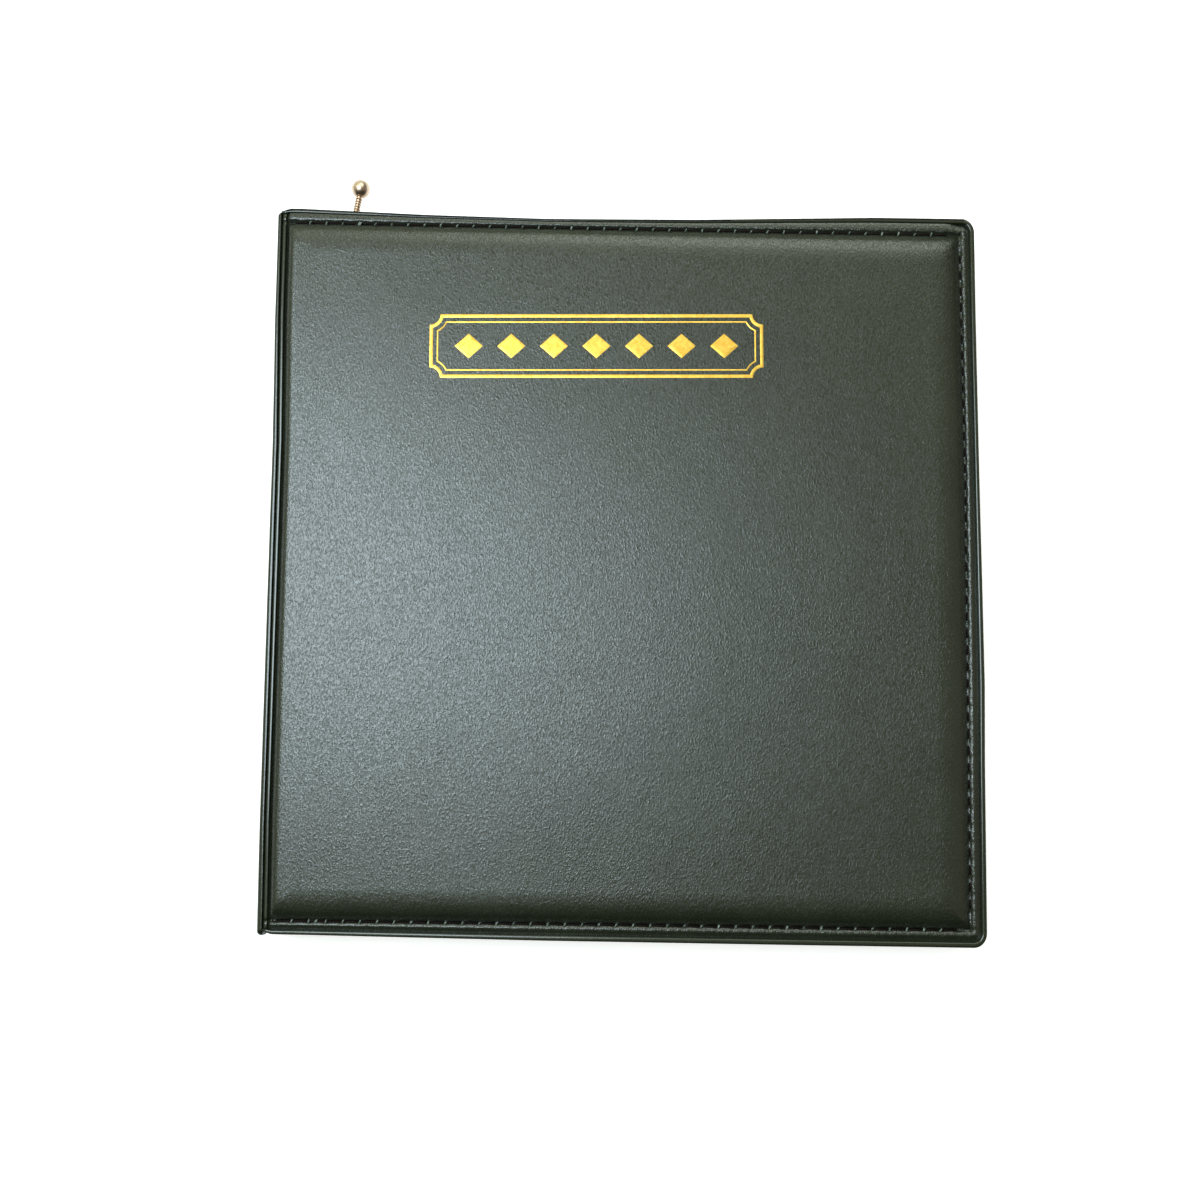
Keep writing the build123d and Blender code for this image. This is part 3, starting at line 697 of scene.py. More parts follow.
def gridFaces(columns, rows, coarse=(0, 0, 0, 0)):
    # quads over a grid; inside the coarse window four by four cells join into one face
    def index(i, j):
        return i * rows + j
    c0, c1, r0, r1 = coarse
    faces = []
    for i in range(columns - 1):
        for j in range(rows - 1):
            if not (c0 <= i < c1 and r0 <= j < r1):
                faces.append((index(i, j), index(i + 1, j), index(i + 1, j + 1), index(i, j + 1)))
    for i in range(c0, c1, 4):
        for j in range(r0, r1, 4):
            loop = []
            loop += [index(i + k, j) for k in range(4)] if j == r0 else [index(i, j)]
            loop += [index(i + 4, j + k) for k in range(4)] if i + 4 == c1 else [index(i + 4, j)]
            loop += [index(i + 4 - k, j + 4) for k in range(4)] if j + 4 == r1 else [index(i + 4, j + 4)]
            loop += [index(i, j + 4 - k) for k in range(4)] if i == c0 else [index(i, j + 4)]
            faces.append(tuple(loop))
    return faces


def closedFaces(columns, rows, top):
    # the faces of one layer, the same turned over for the layer below, and the rim between the two
    count = columns * rows
    rim = [i * rows for i in range(columns)] + [(columns - 1) * rows + j for j in range(1, rows)]
    rim += [i * rows + rows - 1 for i in range(columns - 2, -1, -1)] + list(range(rows - 2, 0, -1))
    below = [tuple(i + count for i in reversed(face)) for face in top]
    walls = [(there, here, here + count, there + count) for here, there in zip(rim, rim[1:] + rim[:1])]
    return top + below + walls


def shellPiece(name, outer, inner, coarse, material, flip, polish):
    # closed shell from an outer and an inner grid of points
    columns, rows = outer.shape[:2]
    points = np.concatenate([outer.reshape(-1, 3), inner.reshape(-1, 3)])
    faces = closedFaces(columns, rows, gridFaces(columns, rows, coarse))
    if flip:
        faces = [tuple(reversed(face)) for face in faces]
    used = np.zeros(len(points), bool)
    used[[i for face in faces for i in face]] = True
    renumber = np.cumsum(used) - 1
    piece = makePiece(name, points[used], [tuple(renumber[i] for i in face) for face in faces], material)
    storeValues(piece, "polish", np.concatenate([polish.ravel()] * 2)[used])
    return piece


def fieldPlaces(columns, rows, wave, seed):
    # outer and inner places of a cover beyond its crease, and how polished they are
    flatX, flatY = cornerPlace(*np.meshgrid(columns, rows, indexing="ij"))
    depth = skinDepth(flatX, flatY)
    fromRoll = np.minimum(np.minimum(halfWidth - 6 - flatX, flatX + 106), halfHeight - 6 - np.abs(flatY))
    swell = softNoise(flatX, flatY, cover["broadWave"], seed) * 0.7
    swell = swell + softNoise(flatX, flatY, cover["smallWave"], seed + 5) * 0.3
    depth = depth + cover["unevenness"] * smoothStep(0, 12, fromRoll) * (0.9 + swell)
    edge = np.minimum(halfWidth - flatX, halfHeight - np.abs(flatY)) < cover["fieldInset"]
    inner = np.minimum(depth + cover["skin"], cover["innerDepth"])
    inner = np.where(edge | (flatX < cover["fieldStart"]), cover["innerDepth"], inner)
    inner = np.maximum(inner, depth + cover["skinLeast"])
    x, y = wanderedPlace(flatX, flatY, wave)
    return np.stack([x, y, depth], -1), np.stack([x, y, inner], -1), skinPolish(flatX, flatY)


# the skin over half of the spine: its flat, the roll at its edge and the end turned in at head and tail
spineFold = dict(rise=0.9, flatSteps=7, foldAngle=103, foldSteps=11, innerTurn=1.2, innerDepth=4.8,
                 endGap=0.35, endShare=0.8, tuck=0.45, tuckRun=1.2, bow=0.10, bowSize=40,
                 cornerShare=0.7, polish=0.8)


def spinePlaces(firstColumn, rows, wave, seed):
    # outer and inner places up the back, round the roll and into the crease
    fold, skin = spineFold, cover["skin"]
    straight = np.linspace(caseThick / 2, hingeDepth + fold["rise"], fold["flatSteps"])
    angles = np.radians(np.linspace(0, fold["foldAngle"], fold["foldSteps"]))
    level = np.ones(len(straight))
    outX = np.concatenate([-halfWidth * level, hingeX - rollRadius * np.cos(angles)])[:, None]
    outD = np.concatenate([straight, hingeDepth - rollRadius * np.sin(angles)])[:, None]
    turn = np.linspace(0, math.pi / 2, len(angles) + 1)[1:]
    inX = np.concatenate([(skin - halfWidth) * level,
                          skin - halfWidth + fold["innerTurn"] * (1 - np.cos(turn))])
    inD = np.concatenate([np.maximum(straight, fold["innerDepth"]), fold["innerDepth"] - skin * np.sin(turn)])
    # the rows draw in at head and tail, and follow the cover's wander where they meet it
    fromEnd = halfHeight - np.abs(rows)
    reach = halfHeight - fold["endGap"]
    y = np.where(np.abs(rows) > reach - 1, np.sign(rows) * (reach - fromEnd * fold["endShare"]),
                 np.clip(rows, -reach, reach))[None, :] * np.ones((len(outX), 1))
    down = np.linspace(0, 1, len(outX))[:, None]
    coverY = wanderedPlace(np.full_like(y, firstColumn), y, wave)[1]
    y = y + (coverY - y) * smoothStep(0, 1, down ** 2)
    # outward from the surface: the tucked ends and a slight bow
    normalX = np.concatenate([level, np.cos(angles)])[:, None]
    normalD = np.concatenate([0 * level, np.sin(angles)])[:, None]
    tuck = fold["tuck"] * quarterRound(fromEnd / fold["tuckRun"])[None, :]
    along, deep = np.broadcast_arrays(rows[None, :], outD)
    inward = tuck + np.abs(fold["bow"] * softNoise(along, deep, fold["bowSize"], seed))
    corner = cover["spineCorner"] * fold["cornerShare"] * quarterRound(fromEnd / cover["spineCorner"])
    stray = wave * wander(spineEdge, rows)[None, :] * down ** 0.5 + corner[None, :]
    outer = np.stack([outX + inward * normalX + stray, y, outD + inward * normalD], -1)
    inner = np.stack(np.broadcast_arrays(inX[:, None] + stray, y, inD[:, None]), -1)
    return outer, inner


def coverShell(name, isFront):
    wave, seed = (1.0, 3.7) if isFront else (0.0, 9.1)
    columns, rows, spineSide, edgeCount = coverLines()
    outerField, innerField, polish = fieldPlaces(columns, rows, wave, seed)
    outerSpine, innerSpine = spinePlaces(columns[0], rows, wave, seed)
    outer, inner = np.concatenate([outerSpine, outerField]), np.concatenate([innerSpine, innerField])
    if isFront:
        outer[..., 2] = caseThick - outer[..., 2]
        inner[..., 2] = caseThick - inner[..., 2]
    offset = len(outerSpine)
    coarse = (offset + spineSide - 1, offset + len(columns) - edgeCount, edgeCount - 1, len(rows) - edgeCount)
    polish = np.concatenate([np.full((offset, len(rows)), spineFold["polish"]), polish])
    return shellPiece(name, outer, inner, coarse, coverVinyl, not isFront, polish)


frontShell = coverShell("front_cover_leatherette", True)
# painted shade: faces along the front cover's head edge get the matt black instead of the leatherette
frontShell.data.materials.append(paintedShadeBlack)
centres = np.array([face.center for face in frontShell.data.polygons]) / mm
outline = wanderedPlace(centres[:, 0], np.full(len(centres), halfHeight), 1.0)[1]
shadedHeadFaces = (outline - centres[:, 1] < cover["shadedEdgeWidth"]) & (centres[:, 0] > hingeX + 1)
frontShell.data.polygons.foreach_set("material_index", shadedHeadFaces.astype(np.int32))
backShell = coverShell("back_cover_leatherette", False)
print("covers shaped:", len(frontShell.data.polygons), "faces each")


# gilt cartouche

cartouche = dict(width=106.2, height=20.7, fromSpine=49.65, fromHead=43.7, turn=0.66, rule=1.1, notch=3.4,
                 innerGap=1.2, innerRule=0.5, lozenges=7, lozenge=(9.0, 8.0), face=0.8, sunk=0.25, foil=0.15,
                 camber=0.05, shrink=0.06, edge=38)


def scoopedLoop(inset, steps=10):
    # one line of the cartouche, anticlockwise, its corners scooped by quarter circles
    radius = cartouche["notch"] + inset
    cut = math.asin(min(1, inset / radius))
    loop = []
    for quarter, (sx, sy) in enumerate(((1, 1), (-1, 1), (-1, -1), (1, -1))):
        cx, cy = sx * cartouche["width"] / 2, sy * cartouche["height"] / 2
        start = 1.5 * math.pi + quarter * math.pi / 2 - cut
        stop = math.pi + quarter * math.pi / 2 + cut
        for angle in np.linspace(start, stop, steps + 1):
            loop.append((cx + radius * math.cos(angle), cy + radius * math.sin(angle)))
    return loop


def cartouchePlace(points, z):
    # the cartouche's own points, turned and set on the cover at a height
    turn = math.radians(cartouche["turn"])
    cx = cartouche["fromSpine"] + cartouche["width"] / 2 - halfWidth
    cy = halfHeight - cartouche["fromHead"]
    return [(cx + px * math.cos(turn) - py * math.sin(turn),
             cy + px * math.sin(turn) + py * math.cos(turn), z) for px, py in points]


def strokes():
    # two rings, each an outer and an inner loop of the same count, and the lozenges as single loops
    inner = cartouche["rule"] + cartouche["innerGap"]
    rings = [(scoopedLoop(0), scoopedLoop(cartouche["rule"])),
             (scoopedLoop(inner), scoopedLoop(inner + cartouche["innerRule"]))]
    pitch = (cartouche["width"] - 2 * (inner + cartouche["notch"])) / cartouche["lozenges"]
    w, h = (v / 2 for v in cartouche["lozenge"])
    centres = [(i - (cartouche["lozenges"] - 1) / 2) * pitch for i in range(cartouche["lozenges"])]
    return rings, [[(x + w, 0), (x, h), (x - w, 0), (x, -h)] for x in centres]


def drawnTo(loop, towards, share):
    # each point of a loop moved by a share of its way towards another
    return [(ax + (bx - ax) * share, ay + (by - ay) * share) for (ax, ay), (bx, by) in zip(loop, towards)]


def strokeSolid(name, low, high, shrink, material):
    # all strokes as closed solids between two heights; the foil's are drawn in a little from the walls
    rings, diamonds = strokes()
    points, faces = [], []
    rim = high - (cartouche["camber"] if shrink else 0)

    def band(base, n, here, there):
        return [(base + here * n + k, base + here * n + (k + 1) % n, base + there * n + (k + 1) % n,
                 base + there * n + k) for k in range(n)]

    for outside, inside in rings:
        base, n = len(points), len(outside)
        middle = drawnTo(outside, inside, 0.5)
        out, into = drawnTo(outside, middle, shrink), drawnTo(inside, middle, shrink)
        levels = [(out, rim), (middle, high), (into, rim), (into, low), (out, low)]
        for loop, z in levels:
            points += cartouchePlace(loop, z)
        for level in range(len(levels)):
            faces += band(base, n, level, (level + 1) % len(levels))
    for diamond in diamonds:
        base = len(points)
        centre = [(sum(px for px, py in diamond) / 4, 0)] * 4
        loop = drawnTo(diamond, centre, 0.04 * shrink)
        small = drawnTo(loop, centre, 1 - cartouche["face"])
        points += cartouchePlace(loop, low) + cartouchePlace(loop, rim) + cartouchePlace(small, high)
        faces += [(base + 3, base + 2, base + 1, base)] + band(base, 4, 0, 1) + band(base, 4, 1, 2)
        faces.append(tuple(range(base + 8, base + 12)))
    piece = makePiece(name, points, faces, material, smooth=False)
    mesh = bmesh.new()
    mesh.from_mesh(piece.data)
    bmesh.ops.recalc_face_normals(mesh, faces=mesh.faces)
    mesh.to_mesh(piece.data)
    mesh.free()
    return piece


floorOfStamp = caseThick - cartouche["sunk"]
cutter = strokeSolid("cartoucheCutter", floorOfStamp - 0.05, caseThick + 1.0, 0.0, coverVinyl)
sink = frontShell.modifiers.new("debossing", "BOOLEAN")
sink.operation, sink.solver, sink.object = "DIFFERENCE", "EXACT", cutter
bakeModifiers(frontShell)
frontShell.data.shade_smooth()
frontShell.data.set_sharp_from_angle(angle=math.radians(cartouche["edge"]))
bpy.data.objects.remove(cutter)
foil = strokeSolid("gilt_cartouche", floorOfStamp - 0.06, floorOfStamp + cartouche["foil"],
                   cartouche["shrink"], giltFoil)
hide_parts("gilt_ornament")
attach(foil, "front_cover")
print("cartouche stamped")


# stitching by geometry nodes

def seamTree():
    # arched stitches set along a path: count, length, width, arch, turn and a little jitter
    tree, given = newGeometryTree("stitchesAlongSeam", "Seam", "Stitches",
                                  {"Count": ("Int", 10), "Length": ("Float", 3.6 * mm),
                                   "Width": ("Float", 0.7 * mm), "Arch": ("Float", 0.4 * mm),
                                   "Turn": ("Float", 0.0), "Jitter": ("Float", 0.05), "Seed": ("Int", 1),
                                   "Material": ("Material", None)})
    path = addNode(tree, "GeometryNodeMeshToCurve", {"Mesh": given["Seam"]})
    places = addNode(tree, "GeometryNodeResampleCurve", {"Curve": path, "Count": given["Count"]})
    # one stitch: a round thread along an arch whose feet dip into the cover
    half = addNode(tree, "ShaderNodeMath", {0: given["Length"], 1: 0.5}, operation="MULTIPLY")
    back = addNode(tree, "ShaderNodeMath", {0: half, 1: -1.0}, operation="MULTIPLY")
    down = addNode(tree, "ShaderNodeMath", {0: given["Width"], 1: -0.45}, operation="MULTIPLY")
    start = addNode(tree, "ShaderNodeCombineXYZ", {"X": back, "Z": down})
    top = addNode(tree, "ShaderNodeCombineXYZ", {"Z": given["Arch"]})
    stop = addNode(tree, "ShaderNodeCombineXYZ", {"X": half, "Z": down})
    arch = addNode(tree, "GeometryNodeCurveQuadraticBezier", {"Resolution": 7, "Start": start, "Middle": top,
                   "End": stop})
    radius = addNode(tree, "ShaderNodeMath", {0: given["Width"], 1: 0.5}, operation="MULTIPLY")
    section = addNode(tree, "GeometryNodeCurvePrimitiveCircle", {"Resolution": 7, "Radius": radius})
    stitch = addNode(tree, "GeometryNodeCurveToMesh",
                     {"Curve": arch, "Profile Curve": section, "Fill Caps": True})
    # each is turned along the path, with a random lean and size
    tangent = addNode(tree, "GeometryNodeInputTangent")
    aligned = addNode(tree, "FunctionNodeAlignRotationToVector", {"Vector": tangent}, axis="X",
                      pivot_axis="Z")
    lean = addNode(tree, "FunctionNodeRandomValue", {2: -1.0, 3: 1.0, "Seed": given["Seed"]},
                   data_type="FLOAT").outputs[1]
    slack = addNode(tree, "ShaderNodeMath", {0: lean, 1: given["Jitter"], 2: given["Turn"]},
                    operation="MULTIPLY_ADD")
    angles = addNode(tree, "ShaderNodeCombineXYZ", {"Z": slack})
    leaning = addNode(tree, "FunctionNodeRotateRotation", {"Rotation": aligned, "Rotate By": angles},
                      rotation_space="LOCAL")
    grow = addNode(tree, "ShaderNodeMath", {0: lean, 1: given["Jitter"], 2: 1.0}, operation="MULTIPLY_ADD")
    placed = addNode(tree, "GeometryNodeInstanceOnPoints", {"Points": places, "Instance": stitch,
                     "Rotation": leaning, "Scale": grow})
    solid = addNode(tree, "GeometryNodeRealizeInstances", {0: placed})
    smooth = addNode(tree, "GeometryNodeSetShadeSmooth", {0: solid})
    finished = addNode(tree, "GeometryNodeSetMaterial", {"Geometry": smooth, "Material": given["Material"]})
    addNode(tree, "NodeGroupOutput", {0: finished})
    return tree


seamStitches = seamTree()


def sewnRun(points, count, seed, stitch, material, **more):
    # a run of stitches along millimetre points, turned into a plain mesh
    mesh = bpy.data.meshes.new("run")
    mesh.from_pydata((np.asarray(points, float) * mm).tolist(),
                     [(i, i + 1) for i in range(len(points) - 1)], [])
    piece = bpy.data.objects.new("run", mesh)
    scene.collection.objects.link(piece)
    values = dict(stitch, **more)
    return applyTree(piece, seamStitches, {"Count": count, "Length": values["length"] * mm,
                                           "Width": values["width"] * mm, "Arch": values["arch"] * mm,
                                           "Turn": math.radians(values.get("turn", 0.0)),
                                           "Jitter": values.get("jitter", 0.05), "Seed": seed,
                                           "Material": material})


def sewnLine(points, pitch, seed, stitch, **more):
    # stitches of maroon thread at an even pitch along millimetre points
    total = np.linalg.norm(np.diff(np.asarray(points, float), axis=0), axis=-1).sum()
    return sewnRun(points, max(2, int(round(total / pitch)) + 1), seed, stitch, maroonThread, **more)


def joined(name, pieces):
    # several meshes as one piece
    mesh = bmesh.new()
    materials = []
    for piece in pieces:
        start = len(mesh.faces)
        mesh.from_mesh(piece.data)
        mesh.faces.ensure_lookup_table()
        for face in mesh.faces[start:]:
            material = piece.data.materials[face.material_index]
            if material not in materials:
                materials.append(material)
            face.material_index = materials.index(material)
    data = bpy.data.meshes.new(name)
    mesh.to_mesh(data)
    mesh.free()
    for material in materials:
        data.materials.append(material)
    for piece in pieces:
        bpy.data.objects.remove(piece)
    whole = bpy.data.objects.new(name, data)
    scene.collection.objects.link(whole)
    return whole


# the covers' seam, its back-tack, the empty needle holes beside it, darkened by painted shade, and the vinyl
# pinched between two stitches, paled by a painted highlight
thread = dict(length=4.25, width=0.66, arch=0.85, jitter=0.04, seed=11)
foreThread = dict(thread, length=3.1, sunk=0.14, seed=13)
backTack = dict(count=4, shift=0.25, seed=18)
pinch = dict(length=1.5, width=0.42, arch=1.1, turn=62.0, jitter=0.25, lift=0.15, seed=5)
needleHoles = dict(places=((-86.7, 1), (-94.8, -1)), shift=0.15, lift=0.12, radius=0.85,
                   shape=(1.15, 1.0, 0.35), tick=(0.9, 1.15), tickLength=1.9, seed=2, deepest=3.5)


def seamPath(xs, ys, isFront, lift=0.0):
    # points of a seam on the cover's surface
    xs, ys = np.broadcast_arrays(np.asarray(xs, float), np.asarray(ys, float))
    depth = np.minimum(skinDepth(xs, ys), needleHoles["deepest"])
    px, py = wanderedPlace(xs, ys, 1.0 if isFront else 0.0)
    return np.stack([px, py, (caseThick - depth + lift) if isFront else (depth - lift)], -1)


def needleHole(x, y, isFront):
    # painted shade for an empty needle hole: a flattened matt black blob, its flat round mouth set into the
    # skin
    mesh = bmesh.new()
    bmesh.ops.create_uvsphere(mesh, u_segments=14, v_segments=8, radius=needleHoles["radius"] * mm)
    data = bpy.data.meshes.new("hole")
    mesh.to_mesh(data)
    mesh.free()
    place = Vector(seamPath([x], [y], isFront, needleHoles["lift"])[0]) * mm
    data.transform(Matrix.Translation(place) @ Matrix.Diagonal(needleHoles["shape"] + (1.0,)))
    data.materials.append(paintedShadeBlack)
    data.shade_smooth()
    hole = bpy.data.objects.new("hole", data)
    scene.collection.objects.link(hole)
    return hole


def coverSeams(isFront):
    runs, ticks = [], []
    flip, step = (1 if isFront else -1), cover["stitchPitch"]
    first, last = middleX + headFirst, middleX - headFirst
    sewn, drawn = dict(thread, arch=flip * thread["arch"]), dict(pinch, arch=flip * pinch["arch"])
    for k, side in enumerate((-1, 1)):
        seam = seamPath(np.linspace(first, last, 200), side * seamY, isFront)
        runs.append(sewnRun(seam, headCount, thread["seed"] + k, sewn, maroonThread))
        xs = np.linspace(first + step / 2, first + step / 2 + (backTack["count"] - 1) * step, 60)
        seam = seamPath(xs, side * (seamY + backTack["shift"]), isFront)
        runs.append(sewnRun(seam, backTack["count"], backTack["seed"], sewn, maroonThread))
        seam = seamPath(np.linspace(first + step / 2, last - step / 2, 200), side * seamY, isFront,
                        pinch["lift"])
        ticks.append(sewnRun(seam, headCount - 1, pinch["seed"] + k, drawn, paintedHighlightVinyl))
    for x, side in needleHoles["places"]:
        runs.append(needleHole(x, side * (seamY - needleHoles["shift"]), isFront))
        seam = seamPath(x + np.array(needleHoles["tick"]), side * seamY, isFront, pinch["lift"])
        ticks.append(sewnRun(seam, 2, needleHoles["seed"], drawn, paintedHighlightVinyl,
                             length=needleHoles["tickLength"]))
    seam = seamPath(seamX, np.linspace(foreFirst, -foreFirst, 200), isFront, -foreThread["sunk"])
    runs.append(sewnRun(seam, foreCount, foreThread["seed"], foreThread, maroonThread, arch=sewn["arch"]))
    return runs, ticks


for isFront in (True, False):
    label = "front" if isFront else "back"
    runs, ticks = coverSeams(isFront)
    sewn = joined(label + "_cover_stitches", runs)
    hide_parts(label + "_stitching")
    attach(sewn, label + "_cover")
    drawn = joined(label + "_cover_pinch_highlights", ticks)
    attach(drawn, label + "_cover")
print("seams sewn")


# covers take the place of the frame's skins

def foldAtHinge(piece, isFront):
    # bakes a skin's or a lining's place into its mesh; nothing is blended over the hinge
    if isFront:
        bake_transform(piece)
    else:
        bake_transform(piece)


# the skins' patterns follow their rest place, in millimetres
for shell, isFront in ((frontShell, True), (backShell, False)):
    storeValues(shell, "restPlace", placesOf(shell.data))
    if isFront:
        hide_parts("front_skin", "spine_skin")
    else:
        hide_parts("back_skin")
    foldAtHinge(shell, isFront)


# cloth, card and band pieces built on a grid of places

def sheetPiece(name, places, thick, material):
    # closed sheet of the given thickness about a grid of millimetre places;
    # its flat cut is stored as the rest place, and its flat size is returned in metres
    places = np.asarray(places, float)
    runs, rows = places.shape[:2]
    normal = np.cross(np.gradient(places, axis=0), np.gradient(places, axis=1))
    normal /= np.maximum(np.linalg.norm(normal, axis=-1, keepdims=True), 1e-9)
    half = np.broadcast_to(thick, (runs, rows))[..., None] / 2
    points = np.concatenate([(places + normal * half).reshape(-1, 3),
                             (places - normal * half).reshape(-1, 3)])
    piece = makePiece(name, points, closedFaces(runs, rows, gridFaces(runs, rows)), material, sharp=50)
    stepU = np.linalg.norm(np.diff(places, axis=0), axis=-1).mean(axis=1)
    stepV = np.linalg.norm(np.diff(places, axis=1), axis=-1).mean(axis=0)
    u, v = np.concatenate([[0], np.cumsum(stepU)]), np.concatenate([[0], np.cumsum(stepV)])
    flat = np.stack(np.broadcast_arrays(u[:, None], v[None, :], 0.0), -1).reshape(-1, 3)
    storeValues(piece, "restPlace", np.concatenate([flat, flat]))
    return piece, (float(u[-1]) * mm, float(v[-1]) * mm)


def roundedPath(corners, radius, step=3.0):
    # a path through the corners, each rounded by a short curve, with points no further apart than the step
    corners = [np.array(c, float) for c in corners]
    points = [corners[0]]
    for before, corner, after in zip(corners, corners[1:], corners[2:]):
        toBefore, toAfter = np.linalg.norm(before - corner), np.linalg.norm(after - corner)
        reach = min(radius, 0.49 * toBefore, 0.49 * toAfter)
        start = corner + (before - corner) / toBefore * reach
        stop = corner + (after - corner) / toAfter * reach
        for t in np.linspace(0, 1, 6):
            points.append((1 - t) ** 2 * start + 2 * t * (1 - t) * corner + t ** 2 * stop)
    points.append(corners[-1])
    dense = [points[0]]
    for here, there in zip(points, points[1:]):
        gap = np.linalg.norm(there - here)
        if gap > 1e-6:
            parts = max(1, int(math.ceil(gap / step)))
            dense += [here + (there - here) * (k + 1) / parts for k in range(parts)]
    return np.array(dense)


def bandPiece(name, path, centre, sideways, across, width, thick, material):
    # a woven band along a path of (sideways, height) places, thinner at its two selvedges
    spread = np.array([-1, -0.95, -0.7, -0.25, 0.25, 0.7, 0.95, 1]) * width / 2
    rim = np.array([0.5, 0.9, 1, 1, 1, 1, 0.9, 0.5]) * thick
    centre, sideways, across = (np.array(v, float) for v in (centre, sideways, across))
    places = centre + path[:, None, :1] * sideways + spread[None, :, None] * across
    places = places + np.array([0, 0, 1.0]) * path[:, None, 1:2]
    return sheetPiece(name, places, rim[None, :], material)


# linings: taffeta glued inside each cover and over the hinge, with the bobbin side of the seams on it

liningCloth = dict(inset=1.15, depth=4.22, thick=0.36, tuck=0.30, wave=0.10, waveSize=26, spineX=-109.8,
                   coverX=-104.0, turn=1.6, seeds=dict(front=2.2, back=6.1))
bobbin = dict(length=3.9, width=0.34, arch=0.06, rise=0.12)


def liningGrid(isFront, seed):
    # places of the lining from the middle of the spine to the fore edge
    c = liningCloth
    edge = np.array([c["inset"], c["inset"] + 0.25, 2.0, 3.0, 4.2, 5.2, 7.0, 9.0, 12.0])
    bend = roundedPath([(c["spineX"], caseThick / 2), (c["spineX"], c["depth"]), (c["coverX"], c["depth"])],
                       c["turn"], 1.2)
    flatX = np.concatenate([np.arange(-101.0, halfWidth - 13, 4.0), (halfWidth - edge)[::-1]])
    rows = np.concatenate([edge - halfHeight, np.arange(-101, 101.1, 4.04), (halfHeight - edge)[::-1]])
    gridX, gridY = np.meshgrid(np.concatenate([bend[:, 0], flatX]), rows, indexing="ij")
    gridD = np.concatenate([bend[:, 1], np.full(len(flatX), c["depth"])])[:, None]
    flatA, flatB = cornerPlace(gridX, gridY)
    onCover = smoothStep(-108.5, -103, gridX)
    inset = np.minimum(halfWidth - flatA, halfHeight - np.abs(flatB))
    tucked = c["tuck"] * (1 - smoothStep(c["inset"], c["inset"] + 0.5, inset)) * onCover
    inside = smoothStep(c["inset"], 8, inset) * onCover
    depth = gridD - tucked + c["wave"] * inside * (softNoise(flatA, flatB, c["waveSize"], seed) - 0.4)
    x, y = wanderedPlace(flatA, flatB, 1.0 if isFront else 0.0)
    x = np.where(gridX < c["coverX"], flatA, x)
    return np.stack([x, y, caseThick - depth if isFront else depth], -1)


for isFront in (True, False):
    label = "front" if isFront else "back"
    places = liningGrid(isFront, liningCloth["seeds"][label])
    if not isFront:
        places = places[:, ::-1]
    lining, flat = sheetPiece(label + "_cover_lining", places, liningCloth["thick"], liningTaffeta)
    if isFront:
        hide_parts("front_lining", "spine_lining")
    else:
        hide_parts("back_lining")
    foldAtHinge(lining, isFront)
    depth = liningCloth["depth"] + bobbin["rise"]
    z = caseThick - depth if isFront else depth
    foreEnd = seamY - cover["seamEnd"]
    alongHead, alongFore = np.linspace(seamStart, seamStop, 90), np.linspace(-foreEnd, foreEnd, 90)
    runs = []
    for xs, ys, seed in ((alongHead, -seamY, 21), (alongHead, seamY, 21), (seamX, alongFore, 22)):
        px, py = wanderedPlace(*np.broadcast_arrays(xs, ys), 1.0 if isFront else 0.0)
        line = np.stack([px, py, np.full(len(px), z)], -1)
        arch = bobbin["arch"] * (-1 if isFront else 1)
        runs.append(sewnLine(line, cover["stitchPitch"], seed, bobbin, arch=arch))
    bobbinSide = joined(label + "_lining_stitches", runs)
    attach(bobbinSide, label + "_cover")
print("linings fitted")


# elastic straps that hold the racks: each dips round every rack and is tacked down at both ends

rackStrap = dict(thick=0.72, round=1.1, step=2.4, gap=0.7, below=0.4, above=0.42)
rackTack = dict(length=1.7, width=0.5, arch=-0.45, pitch=2.1, margin=1.4, insets=(1.5, 4.0),
                sunk=0.38, seed=31)
racks = [boxOf("tile_rack_%d" % number) for number in (1, 2, 3, 4)]
for label in ("lower", "upper"):
    low, high = boxOf("rack_strap_" + label)
    bottom, top = low[2] + rackStrap["below"], high[2] - rackStrap["above"]
    corners = [(low[0], top)]
    for rackLow, rackHigh in racks:
        left, right = rackLow[0] - rackStrap["gap"], rackHigh[0] + rackStrap["gap"]
        corners += [(left, top), (left, bottom), (right, bottom), (right, top)]
    corners.append((high[0], top))
    path = roundedPath(corners, rackStrap["round"], rackStrap["step"])
    centre = (0, (low[1] + high[1]) / 2, 0)
    band, flat = bandPiece("rack_strap_band_" + label, path, centre, (1, 0, 0), (0, 1, 0), high[1] - low[1],
                           rackStrap["thick"], elasticBraid)
    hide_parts("rack_strap_" + label)
    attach(band, "front_cover")
    ys = np.linspace(low[1] + rackTack["margin"], high[1] - rackTack["margin"], 8)
    first, second = rackTack["insets"]
    runs = []
    for x in (low[0] + first, low[0] + second, high[0] - second, high[0] - first):
        line = np.stack(np.broadcast_arrays(x, ys, top - rackTack["sunk"]), -1)
        runs.append(sewnLine(line, rackTack["pitch"], rackTack["seed"], rackTack))
    tacks = joined("rack_strap_tacks_" + label, runs)
    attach(tacks, "front_cover")
print("rack straps sewn")


# pen and its two loops; lengths run from the writing end

penAxis = dict(tip=(-105.05, 26.65), height=7.0, length=106.0, ball=3.0, neck=1.2, core=0.93, neckLength=9.0,
               ribPitch=0.88, barrel=1.7, nose=12.0, tipRadius=0.62, refill=0.42, segments=40)
loopBand = dict(thick=0.56, width=9.0, foot=7.1, radius=2.32, round=0.9, places=(28.0, 74.0))
loopTack = dict(length=1.6, width=0.45, arch=0.45, pitch=2.0, offsets=(-4.1, -6.2, 4.1, 6.2), half=3.2,
                lift=0.3, seed=33)
penWay = np.array([math.sin(math.radians(penTilt)), math.cos(math.radians(penTilt)), 0])
penSide = np.array([penWay[1], -penWay[0], 0])
upward = np.array([0, 0, 1.0])


